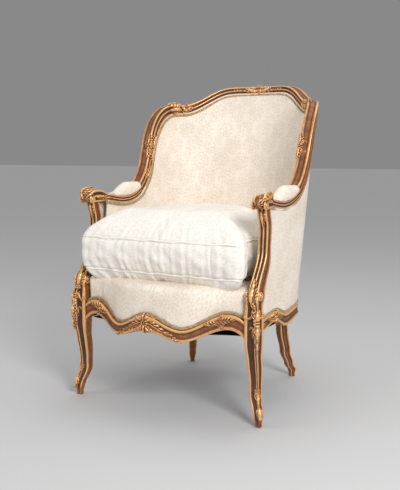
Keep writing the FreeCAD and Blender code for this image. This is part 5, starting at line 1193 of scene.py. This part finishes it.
def edge_level_table():
    """Levels of the show frame's inner edge by the wall's turn, for the covers to meet."""
    turns, levels = [], []
    for place in np.linspace(0, HALF_LENGTH - 30, 260):
        point, outward, away = frame_station(place)
        low = frame_edges(place)[0]
        edge = point + away * low
        wide, corner, corner_centre, rear, rear_centre = wall_plan(edge[2])
        spot = np.array([abs(edge[0]), edge[1]])
        if spot[1] < corner_centre[1]:
            turn = 90 + (corner_centre[1] - spot[1]) / MM_PER_TURN
        else:
            between = corner_centre - rear_centre
            away_from = spot - rear_centre
            turn = math.degrees(math.atan2(away_from[0], away_from[1]))
            if turn > math.degrees(math.atan2(between[0], between[1])):
                away_from = spot - corner_centre
                turn = math.degrees(math.atan2(away_from[0], away_from[1]))
        turns.append(turn)
        levels.append(edge[2])
    turns = np.maximum.accumulate(np.array(turns) + np.arange(len(turns)) * 1e-6)
    return turns, np.array(levels)


EDGE_TURNS, EDGE_LEVELS = edge_level_table()


PUFF_START, PUFF_REACH = 12.0, 34.0


def wall_cover(name, turns, low, high, face, back, tuck=4.0, puff=0.0, rows=70, slant=None):
    """A cover on the wall between two edges: face and back give its offsets from the wall over
    (turn, share of height). A slant gives, at a level, how far forward its front edge lies.
    Returns the piece and its cut coordinates."""
    front_grid, back_grid, cut = [], [], []
    run = turn_arc(turns, 640.0)
    line = np.linspace(0, 1, rows)
    first, last = turns[0], turns[-1]

    def slanted(turn, level):
        if slant is None:
            return turn
        return first + (turn - first) * (slant(level) - first) / (last - first)

    for index, turn in enumerate(turns):
        bottom, top = low(slanted(turn, 290.0)), high(slanted(turn, 600.0)) + tuck
        levels = bottom + (top - bottom) * line
        end = min(index, len(turns) - 1 - index) * abs(run[1] - run[0])
        near = np.minimum(np.minimum(top - levels, levels - bottom), end)
        full = smooth_step((near - PUFF_START) / PUFF_REACH)
        front_grid.append([wall_spot(slanted(turn, level), level, face(turn, share)[0] - puff * f,
                                     face(turn, share)[1] * f)
                           for level, share, f in zip(levels, line, full)])
        back_grid.append([wall_spot(slanted(turn, level), level, *back(turn, share))
                          for level, share in zip(levels, line)])
        cut.append(np.column_stack([np.full(rows, run[index]), levels]) * 0.001)
    piece = shell(name, np.array(front_grid), np.array(back_grid))
    cut = np.concatenate(cut)
    return piece, np.concatenate([cut, cut])


SEAT_TUCK = 384.0


def lining(turn, share):
    """The inside covers' back, level on the webbing."""
    return -11.6, 0.0


def edge_top(turn):
    """The level of the show frame's inner edge at a turn of the wall."""
    return float(np.interp(abs(turn), EDGE_TURNS, EDGE_LEVELS))


def back_face(turn, share):
    """The inside back's face, which swells at the small of the back and dies at the corners."""
    swell = 22.0 * float(eased(share, [(0, 0.35), (0.35, 1.0), (1.0, 0.0)]))
    return -16.0, swell * float(1 - smooth_step((abs(turn) - 55) / 45))


inside_back, cut = wall_cover("inside_back_stuffing", np.linspace(-96, 96, 210), lambda turn: SEAT_TUCK,
                              edge_top, back_face, lining, tuck=4.0, puff=3.0, rows=90)
dress(inside_back, DAMASK, "inside_back_pad", cut)
for side, flip in (("right", 1), ("left", -1)):
    turns = np.linspace(96.4, 171.5, 60) * flip
    inside_arm, cut = wall_cover(f"inside_arm_stuffing_{side}", turns, lambda turn: SEAT_TUCK, edge_top,
                                 lambda turn, share: (-19.0, 0.0), lining, tuck=3.0, puff=3.0, rows=46)
    dress(inside_arm, DAMASK, f"inside_arm_pad_{side}", cut)


# OUTSIDE COVERS. One sheet of damask over the outside back and one on each side, stretched flat
# over a thin lining and tacked along the show frame and the seat rails under braid.
SEAM_TURN = 62.0


def rail_top(turn):
    """The level of the side and back rails' top edge at a turn of the wall."""
    return float(eased(wall_spot(turn, SEAT_LEVEL, RAIL_OUT)[1], SIDE_TOP))


def support_back(level):
    """The wall's turn just behind the right arm support at a level."""
    back, deep, _ = support_form(level)
    y = back - LEG_FRONT + deep * 0.8 + 1.2
    return 90 + (wall_plan(level)[2][1] - y) / MM_PER_TURN


def outside_cover(name, turns, node, slant=None):
    """One sheet over the outside, with its turned-in edges counted in the flat size."""
    cover, cut = wall_cover(name, turns, lambda turn: rail_top(turn) + 1.0, edge_top,
                            lambda turn, share: (12.0, 0.0), lambda turn, share: (9.0, 0.0),
                            tuck=3.0, rows=60, slant=slant)
    dress(cover, DAMASK, node, cut)


outside_cover("outside_back_sheet", np.linspace(-SEAM_TURN, SEAM_TURN, 100), "outside_back_cover")
for side, flip in (("right", 1), ("left", -1)):
    outside_cover(f"outside_arm_sheet_{side}", np.linspace(SEAM_TURN + 0.2, 168.0, 90) * flip,
                  f"outside_arm_cover_{side}", lambda level, flip=flip: support_back(level) * flip)


# STUFFED SEAT. Webbing, hessian, horsehair and a damask front under the loose cushion.
def node_copy(name, node, voxel=0.0, scale=1.0):
    """A copy of a frame node's mesh as a new object, remeshed to even squares."""
    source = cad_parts[node]
    mesh = source.data.copy()
    mesh.transform(source.matrix_world)
    piece = placed(name, mesh)
    if scale != 1.0:
        points = np.array([vertex.co for vertex in mesh.vertices])
        middle = (points.max(0) + points.min(0)) / 2
        mesh.vertices.foreach_set("co", (middle + (points - middle) * scale).ravel())
    if voxel:
        remesh = piece.modifiers.new("even", "REMESH")
        remesh.mode, remesh.voxel_size = "VOXEL", voxel
        bake(piece)
    piece.data.shade_smooth()
    return piece


def bake(piece):
    """Applies every modifier of a piece at the current frame."""
    graph = bpy.context.evaluated_depsgraph_get()
    graph.update()
    made = bpy.data.meshes.new_from_object(piece.evaluated_get(graph))
    piece.modifiers.clear()
    piece.data = made


def set_points(piece, points):
    """Moves a mesh's points to new places in metres."""
    piece.data.vertices.foreach_set("co", np.asarray(points).ravel())
    piece.data.update()


def plump(piece, pressure, cap, frames=20):
    """Swells a stuffed piece as cloth under pressure; no point moves further than the cap."""
    before = mesh_vectors(piece)
    cloth = piece.modifiers.new("cloth", "CLOTH")
    cloth.settings.quality = 5
    cloth.settings.mass = 0.3
    cloth.settings.tension_stiffness = 12
    cloth.settings.compression_stiffness = 12
    cloth.settings.bending_stiffness = 0.4
    cloth.settings.use_pressure = True
    cloth.settings.uniform_pressure_force = pressure
    cloth.settings.effector_weights.gravity = 0
    cloth.point_cache.frame_start, cloth.point_cache.frame_end = 1, frames
    for frame_number in range(1, frames + 1):
        bpy.context.scene.frame_set(frame_number)
    bake(piece)
    bpy.context.scene.frame_set(1)
    moved = mesh_vectors(piece) - before
    far = np.linalg.norm(moved, axis=1, keepdims=True).clip(1e-9)
    set_points(piece, before + moved * np.minimum(1, cap / far))


def divide(piece):
    """Rounds a mesh by one step of subdivision."""
    rounder = piece.modifiers.new("rounder", "SUBSURF")
    rounder.levels = rounder.render_levels = 1
    bake(piece)
    piece.data.shade_smooth()


def ripples(points, scale, seed):
    """Soft irregular folds: a sum of sine waves in seeded directions, about -1 to 1."""
    chance = np.random.default_rng(seed)
    total = 0.0
    for _ in range(7):
        way = chance.normal(size=3)
        way /= np.linalg.norm(way)
        total = total + np.sin(points @ way * 2 * np.pi / (scale * chance.uniform(0.6, 1.6))
                               + chance.uniform(0, 6.28))
    return total / 3.0


deck = node_copy("stuffed_seat", "seat_deck", 0.008)
plump(deck, 2.0, 0.003, 10)
divide(deck)
points, normals = mesh_vectors(deck), mesh_vectors(deck, "normal")
ahead = smooth_step((-normals[:, 1] - 0.3) / 0.5)
set_points(deck, points + normals * (0.0012 * ripples(points, 0.09, 4) * ahead - 0.001)[:, None])
points = mesh_vectors(deck)
dress(deck, DAMASK, "seat_deck", np.column_stack([points[:, 0], points[:, 2] - points[:, 1]]))

# ARM PADS. Small pads stuffed hard on the arm rails and covered in damask.
for side in ("right", "left"):
    pad = node_copy(f"arm_pad_stuffed_{side}", f"arm_pad_{side}", 0.003, 0.985)
    plump(pad, 3.0, 0.003, 10)
    divide(pad)
    points = mesh_vectors(pad)
    dress(pad, DAMASK, f"arm_pad_{side}", points[:, [1, 0]] + points[:, 2:] * [0, 1])

# SEAT CUSHION. Loose and boxed, filled with feathers: a top and a bottom panel sewn to a border
# with piping. The seams pull small puckers in the silk, and one seam joins the border.
cushion = node_copy("feather_cushion", "seat_cushion", 0.0065, 0.985)
plump(cushion, 4.0, 0.024, 20)
divide(cushion)
LOW_SEAM, TOP_SEAM = 0.412, 0.510
BORDER_MIDDLE = (LOW_SEAM + TOP_SEAM) / 2
CUT_PER_RADIAN = 0.3
points, normals = mesh_vectors(cushion), mesh_vectors(cushion, "normal")
middle = np.array([0.0, -0.07])
plan = points[:, :2] - middle
around = np.arctan2(plan[:, 0], -plan[:, 1])
out = np.linalg.norm(plan, axis=1)
rim = np.clip((out - 0.16) / 0.1, 0, 1)
chance = np.random.default_rng(11)
pucker = sum(np.sin(around * rate + chance.uniform(0, 6.28)) for rate in (41, 57, 73, 29, 97)) / 2.6
lift = np.zeros(len(points))
for seam, reach, size in ((LOW_SEAM, 0.034, 0.0042), (TOP_SEAM, 0.026, 0.0016)):
    gap = abs(points[:, 2] - seam)
    lift += rim * size * pucker * np.exp(-gap / reach) * (1 - np.exp(-gap / 0.006))
    lift -= rim * 0.0035 * np.exp(-(gap / 0.005) ** 2)
border = np.exp(-((points[:, 2] - BORDER_MIDDLE) / 0.04) ** 2) * rim
lift += border * 0.0022 * ripples(points * [1, 1, 2.2], 0.085, 7)
ahead = smooth_step((-normals[:, 1] - 0.5) / 0.3)
lift -= 0.0035 * border * ahead * np.exp(-((points[:, 0] - 0.18) / 0.0032) ** 2)
top = smooth_step((normals[:, 2] - 0.4) / 0.4)
lift += top * 0.0024 * ripples(points, 0.15, 5) - 0.0008
set_points(cushion, points + normals * lift[:, None])
points = mesh_vectors(cushion)
on_panels = abs(normals[:, 2:]) > 0.5
cut = np.where(on_panels, points[:, :2] + [0, 0.3],
               np.column_stack([around * CUT_PER_RADIAN, points[:, 2]]))
dress(cushion, CUSHION_DAMASK, "seat_cushion", cut, "cushion")


def run_group(piece, group, settings):
    """Runs a geometry group on a piece with its named inputs set, and applies it."""
    modifier = piece.modifiers.new(group.name, "NODES")
    modifier.node_group = group
    for socket in group.interface.items_tree:
        if socket.name in settings:
            modifier[socket.identifier] = settings[socket.name]
    bake(piece)
    piece.data.shade_smooth()


def cord_along(name, path, radius, material):
    """Piping swept by geometry nodes along a closed path of points in metres."""
    count = len(path)
    mesh = bpy.data.meshes.new(name)
    mesh.from_pydata(np.asarray(path).tolist(), [(k, (k + 1) % count) for k in range(count)], [])
    piece = placed(name, mesh)
    run_group(piece, PIPING, {"Radius": radius, "Cloth": material})
    return piece


def geometry_group(name, inputs):
    """An empty geometry group with named (kind, name) inputs."""
    group = bpy.data.node_groups.new(name, "GeometryNodeTree")
    group.interface.new_socket("Geometry", in_out="INPUT", socket_type="NodeSocketGeometry")
    for kind, label in inputs:
        group.interface.new_socket(label, in_out="INPUT", socket_type=kind)
    group.interface.new_socket("Geometry", in_out="OUTPUT", socket_type="NodeSocketGeometry")
    return group, group.nodes.new("NodeGroupInput"), group.nodes.new("NodeGroupOutput")


def piping_group():
    """Sweeps a round cord along a line and covers it with cloth."""
    group, given, result = geometry_group("piping", [("NodeSocketFloat", "Radius"),
                                                     ("NodeSocketMaterial", "Cloth")])
    curve = wire(group, "GeometryNodeMeshToCurve", {0: given.outputs["Geometry"]})
    section = wire(group, "GeometryNodeCurvePrimitiveCircle", {"Resolution": 10,
                                                               "Radius": given.outputs["Radius"]})
    tube = wire(group, "GeometryNodeCurveToMesh", {0: curve.outputs[0], 1: section.outputs[0]})
    whole = wire(group, "GeometryNodeRealizeInstances", {0: tube.outputs[0]})
    dressed = wire(group, "GeometryNodeSetMaterial", {0: whole.outputs[0],
                                                      "Material": given.outputs["Cloth"]})
    group.links.new(dressed.outputs[0], result.inputs[0])
    return group


PIPING = piping_group()
skin = BVHTree.FromPolygons([tuple(point) for point in mesh_vectors(cushion)],
                            [tuple(face.vertices) for face in cushion.data.polygons])
for name, seam, seed in (("cushion_welt_bottom", LOW_SEAM, 1), ("cushion_welt_top", TOP_SEAM, 2)):
    path = []
    for angle in np.linspace(0, 2 * np.pi, 420, endpoint=False):
        ray = Vector((math.sin(angle), -math.cos(angle), 0))
        wander = 0.0012 * math.sin(angle * 17 + seed) + 0.0008 * math.sin(angle * 31 + 2 * seed)
        start = Vector((middle[0], middle[1], seam + wander)) + ray * 0.6
        hit = skin.ray_cast(start, -ray)[0]
        path.append(np.array(hit) + np.array(ray) * 0.0012)
    path = np.array(path)
    for _ in range(3):
        path = (np.roll(path, 1, 0) + 2 * path + np.roll(path, -1, 0)) / 4
    welt = cord_along(f"{name}_piping", path, 0.0032, CUSHION_DAMASK)
    points = mesh_vectors(welt)
    turn = np.arctan2(points[:, 0] - middle[0], -(points[:, 1] - middle[1]))
    cut = np.column_stack([turn * CUT_PER_RADIAN, points[:, 2]])
    dress(welt, CUSHION_DAMASK, name, cut, "cushion")


# BRAID. A gimp of gold-coloured silk, glued over the tacks along every edge of the covers: a
# flat woven band with a raised cord in the middle and a row of scrolled loops on each side.
def gimp_group():
    """Sets a pair of loops and a knot at each marked point, turned to its own directions."""
    group, given, result = geometry_group("gimp_loops", [("NodeSocketFloat", "Loop Size"),
                                                         ("NodeSocketMaterial", "Silk")])
    ring = wire(group, "GeometryNodeCurvePrimitiveCircle", {"Resolution": 9,
                                                            "Radius": given.outputs["Loop Size"]})
    thread = wire(group, "ShaderNodeMath", {0: given.outputs["Loop Size"], 1: 0.36},
                  operation="MULTIPLY")
    section = wire(group, "GeometryNodeCurvePrimitiveCircle", {"Resolution": 4,
                                                               "Radius": thread.outputs[0]})
    loop = wire(group, "GeometryNodeCurveToMesh", {0: ring.outputs[0], 1: section.outputs[0]})
    both = group.nodes.new("GeometryNodeJoinGeometry")
    for side in (1, -1):
        moved = wire(group, "GeometryNodeTransform", {
            0: loop.outputs[0], "Translation": (0.0, 0.0027 * side, 0.0003),
            "Rotation": (math.radians(-12 * side), 0.0, 0.0), "Scale": (1.25, 0.95, 1.0)})
        group.links.new(moved.outputs[0], both.inputs[0])
    twist = wire(group, "GeometryNodeTransform", {
        0: loop.outputs[0], "Translation": (0.0, 0.0, 0.0006), "Rotation": (0, 0, math.radians(35)),
        "Scale": (1.3, 0.34, 0.8)})
    group.links.new(twist.outputs[0], both.inputs[0])
    marked = wire(group, "GeometryNodeInputNamedAttribute", {"Name": "loop_here"}, data_type="BOOLEAN")
    turns = []
    for axis, label in (("Z", "outward"), ("X", "along")):
        way = wire(group, "GeometryNodeInputNamedAttribute", {"Name": label},
                   data_type="FLOAT_VECTOR").outputs[0]
        turn = wire(group, "FunctionNodeAlignRotationToVector", {"Vector": way}, axis=axis)
        if turns:
            turn.pivot_axis = "Z"
            group.links.new(turns[0].outputs[0], turn.inputs[0])
        turns.append(turn)
    loops = wire(group, "GeometryNodeInstanceOnPoints", {
        "Points": given.outputs["Geometry"], "Selection": marked.outputs[0],
        "Instance": both.outputs[0], "Rotation": turns[1].outputs[0]})
    loose = wire(group, "GeometryNodeDeleteGeometry", {0: given.outputs["Geometry"],
                                                       1: marked.outputs[0]}, domain="POINT")
    whole = group.nodes.new("GeometryNodeJoinGeometry")
    group.links.new(loops.outputs[0], whole.inputs[0])
    group.links.new(loose.outputs[0], whole.inputs[0])
    real = wire(group, "GeometryNodeRealizeInstances", {0: whole.outputs[0]})
    dressed = wire(group, "GeometryNodeSetMaterial", {0: real.outputs[0],
                                                      "Material": given.outputs["Silk"]})
    group.links.new(dressed.outputs[0], result.inputs[0])
    return group


def make_silk(name, light, dark, grain):
    """Twisted silk thread: fine oblique strands, some of them darker."""
    material, tree, surface = new_material(name)
    place = tree.nodes.new("ShaderNodeTexCoord").outputs["Object"]
    strand = wire(tree, "ShaderNodeTexWave", {"Vector": place, "Scale": grain, "Distortion": 2.0,
                                              "Detail": 1.0}, bands_direction="DIAGONAL").outputs[1]
    patch = wire(tree, "ShaderNodeTexNoise", {"Vector": place, "Scale": 160.0, "Detail": 3.0}).outputs[0]
    mixed = math_of(tree, "ADD", math_of(tree, "MULTIPLY", strand, 0.4),
                    math_of(tree, "MULTIPLY", patch, 0.9))
    tree.links.new(ramp(tree, mixed, [(0.35, dark), (0.85, light)]), surface.inputs["Base Color"])
    tree.links.new(wire(tree, "ShaderNodeMapRange", {"Value": strand, "To Min": 0.7, "To Max": 0.5})
                   .outputs[0], surface.inputs["Roughness"])
    bump = wire(tree, "ShaderNodeBump", {"Strength": 0.6, "Distance": 0.0004, "Height": strand})
    tree.links.new(bump.outputs[0], surface.inputs["Normal"])
    return material


GIMP = gimp_group()
SILK = make_silk("gimp_silk", (0.66, 0.50, 0.30), (0.30, 0.19, 0.09), 900.0)
GIMP_STEP, GIMP_HALF, GIMP_LOOP, GIMP_CLEAR = 4.4, 4.3, 1.4, 4.9


def gimp(name, path, outward, node):
    """Braid along a path in millimetres with its outward directions, standing for a node."""
    path, outward = np.asarray(path, float), np.asarray(outward, float)
    run = np.concatenate([[0], np.cumsum(np.linalg.norm(np.diff(path, axis=0), axis=1))])
    even = np.linspace(0, run[-1], max(int(run[-1] / GIMP_STEP), 2) + 1)
    path = np.stack([np.interp(even, run, path[:, k]) for k in range(3)], 1)
    outward = np.stack([np.interp(even, run, outward[:, k]) for k in range(3)], 1)
    along = np.gradient(path, axis=0)
    along /= np.linalg.norm(along, axis=1, keepdims=True)
    outward -= along * (outward * along).sum(1, keepdims=True)
    outward /= np.linalg.norm(outward, axis=1, keepdims=True)
    across = np.cross(outward, along)
    section = [(-GIMP_HALF, -0.2), (-GIMP_HALF, 0.6), (-2, 0.8), (-0.9, 0.8), (0, 1.5), (0.9, 0.8),
               (2, 0.8), (GIMP_HALF, 0.6), (GIMP_HALF, -0.2), (0, -0.3)]
    rings = np.stack([path + across * a + outward * h for a, h in section], 1)
    faces = tube_faces(len(path), len(section))
    points = np.concatenate([rings.reshape(-1, 3), path + outward * 0.7])
    piece = make_piece(name, points, faces)
    band = rings.shape[0] * rings.shape[1]
    marks = np.arange(len(points)) >= band
    piece.data.attributes.new("loop_here", "BOOLEAN", "POINT").data.foreach_set("value", marks)
    for label, ways in (("outward", outward), ("along", along)):
        every = np.concatenate([np.repeat(ways, len(section), axis=0), ways])
        layer = piece.data.attributes.new(label, "FLOAT_VECTOR", "POINT")
        layer.data.foreach_set("vector", every.ravel())
    run_group(piece, GIMP, {"Loop Size": GIMP_LOOP * 0.001, "Silk": SILK})
    outward_faces(piece)
    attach(piece, "chair")
    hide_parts(node)


def edge_path(first, last, offset, inner=True):
    """A path beside the frame's inner edge at an offset from the wall, and its directions."""
    path, ways = [], []
    for place in np.linspace(first, last, int(abs(last - first) / 3) + 2):
        point, outward, away = frame_station(place)
        edge = point + away * (frame_edges(place)[0] - GIMP_CLEAR)
        flat = wall_outward(edge)
        path.append(edge + flat * offset)
        ways.append(-flat if inner else flat)
    return path, ways


# How far outward of the wall's middle the braid lies on the back, the arms and the outside
BACK_BRAID, ARM_BRAID, OUTER_BRAID = -18.9, -22.4, 13.2
gimp("inside_back_gimp", *edge_path(-JOINT_PLACE + 9, JOINT_PLACE - 9, BACK_BRAID), "inside_back_braid")
gimp("outside_gimp", *edge_path(-HALF_LENGTH + 92, HALF_LENGTH - 92, OUTER_BRAID, False),
     "outside_braid")
for side, flip in (("right", 1), ("left", -1)):
    path, ways = edge_path(JOINT_PLACE - 4, HALF_LENGTH - 82, ARM_BRAID)
    gimp(f"inside_arm_gimp_{side}", np.array(path) * [flip, 1, 1], np.array(ways) * [flip, 1, 1],
         f"inside_arm_braid_{side}")
    turns = np.linspace(SIDE_START - 8.5, BACK_TURN + 4.6, 150)
    path = [wall_spot(turn, rail_top(turn) + GIMP_CLEAR, OUTER_BRAID) for turn in turns]
    gimp(f"side_rail_gimp_{side}", np.array(path) * [flip, 1, 1],
         np.array([wall_outward(spot) for spot in path]) * [flip, 1, 1], f"side_rail_braid_{side}")
BEHIND_FACE = 12.2
front_path = np.column_stack([rail_x - rail_out[:, 0] * BEHIND_FACE,
                              rail_y - rail_out[:, 1] * BEHIND_FACE, high_edge + GIMP_CLEAR])
front_ways = np.column_stack([rail_out, np.zeros(len(rail_out))])
gimp("seat_front_gimp", front_path[1:-1], front_ways[1:-1], "seat_front_braid")


# UNDERSIDE. Jute webbing interlaced under the hessian that holds the stuffing, and a black
# cotton dust cover tacked inside the rails.
def make_weave(name, light, dark, threads, rough):
    """A plain weave of coarse threads crossing over and under, with slubs."""
    material, tree, surface = new_material(name)
    place = tree.nodes.new("ShaderNodeTexCoord").outputs["Object"]
    warp, weft = [wire(tree, "ShaderNodeTexWave", {"Vector": place, "Scale": threads,
                                                   "Distortion": 0.8, "Detail": 1.0},
                       bands_direction=way).outputs[1] for way in ("X", "Y")]
    slub = wire(tree, "ShaderNodeTexNoise", {"Vector": place, "Scale": 90.0, "Detail": 4.0}).outputs[0]
    over = math_of(tree, "MAXIMUM", warp, weft)
    mixed = math_of(tree, "ADD", math_of(tree, "MULTIPLY", over, 0.6),
                    math_of(tree, "MULTIPLY", slub, 0.6))
    tree.links.new(ramp(tree, mixed, [(0.3, dark), (1.0, light)]), surface.inputs["Base Color"])
    tree.links.new(wire(tree, "ShaderNodeMapRange", {"Value": slub, "To Min": rough - 0.08,
                                                     "To Max": rough + 0.08}).outputs[0],
                   surface.inputs["Roughness"])
    bump = wire(tree, "ShaderNodeBump", {"Strength": 0.5, "Distance": 0.0006, "Height": over})
    tree.links.new(bump.outputs[0], surface.inputs["Normal"])
    return material


JUTE = make_weave("jute_web", (0.50, 0.38, 0.22), (0.22, 0.14, 0.07), 210, 0.85)
HESSIAN = make_weave("hessian_weave", (0.46, 0.36, 0.22), (0.20, 0.14, 0.08), 260, 0.88)
COTTON = make_weave("black_cotton", (0.030, 0.028, 0.027), (0.010, 0.009, 0.009), 600, 0.85)
for node, finish, slot in (("seat_webbing", JUTE, "webbing"), ("seat_hessian", HESSIAN, "hessian"),
                           ("dust_cover", COTTON, "dust_cloth")):
    cloth = node_copy(f"{node}_cloth", node)
    cloth.data.shade_flat()
    dress(cloth, finish, node)


# FLOOR, LIGHT AND CAMERA. A plain pale floor under soft studio light.
floor_mesh = bpy.data.meshes.new("studio_floor")
FAR = 30.0
floor_mesh.from_pydata([(-FAR, -FAR, 0), (FAR, -FAR, 0), (FAR, FAR, 0), (-FAR, FAR, 0)], [],
                       [(0, 1, 2, 3)])
studio_floor = placed("studio_floor", floor_mesh)
floor_finish, _, floor_surface = new_material("pale_floor")
floor_surface.inputs["Base Color"].default_value = (0.60, 0.60, 0.605, 1)
floor_surface.inputs["Roughness"].default_value = 0.8
floor_mesh.materials.append(floor_finish)


def soft_lamp(name, place, target, width, power):
    """A square soft lamp aimed at a point."""
    lamp = bpy.data.lights.new(name, "AREA")
    lamp.shape, lamp.size, lamp.energy = "SQUARE", width, power
    holder = placed(name, lamp)
    holder.location = place
    holder.rotation_euler = (Vector(target) - Vector(place)).to_track_quat("-Z", "Y").to_euler()


MIDDLE_OF_CHAIR = (0.0, 0.0, 0.5)
soft_lamp("key_lamp", (2.5, -2.1, 2.1), MIDDLE_OF_CHAIR, 1.1, 84)
soft_lamp("fill_lamp", (-2.4, -2.6, 1.8), MIDDLE_OF_CHAIR, 2.2, 18)
soft_lamp("top_lamp", (0.0, 0.6, 3.2), MIDDLE_OF_CHAIR, 1.8, 19)
world = bpy.data.worlds.new("studio")
bpy.context.scene.world = world
world.use_nodes = True
AMBIENT, BACKDROP = 0.5, 0.25
sky = world.node_tree.nodes["Background"]
seen = wire(world.node_tree, "ShaderNodeLightPath").outputs["Is Camera Ray"]
world.node_tree.links.new(wire(world.node_tree, "ShaderNodeMapRange", {
    "Value": seen, "To Min": AMBIENT, "To Max": BACKDROP}).outputs[0], sky.inputs["Strength"])
sky.inputs["Color"].default_value = (1, 1, 1, 1)
bpy.context.scene.view_settings.view_transform = "Standard"

CAMERA_PLACE = (1.208, -2.217, 0.768)
CAMERA_TURN, CAMERA_DOWN, LENS = 29.35, 6.86, 57.67
lens = bpy.data.cameras.new("camera")
lens.lens, lens.sensor_width, lens.sensor_fit = LENS, 36.0, "AUTO"
camera = placed("camera", lens)
camera.location = CAMERA_PLACE
camera.rotation_euler = (math.radians(90 - CAMERA_DOWN), 0, math.radians(CAMERA_TURN))
bpy.context.scene.camera = camera
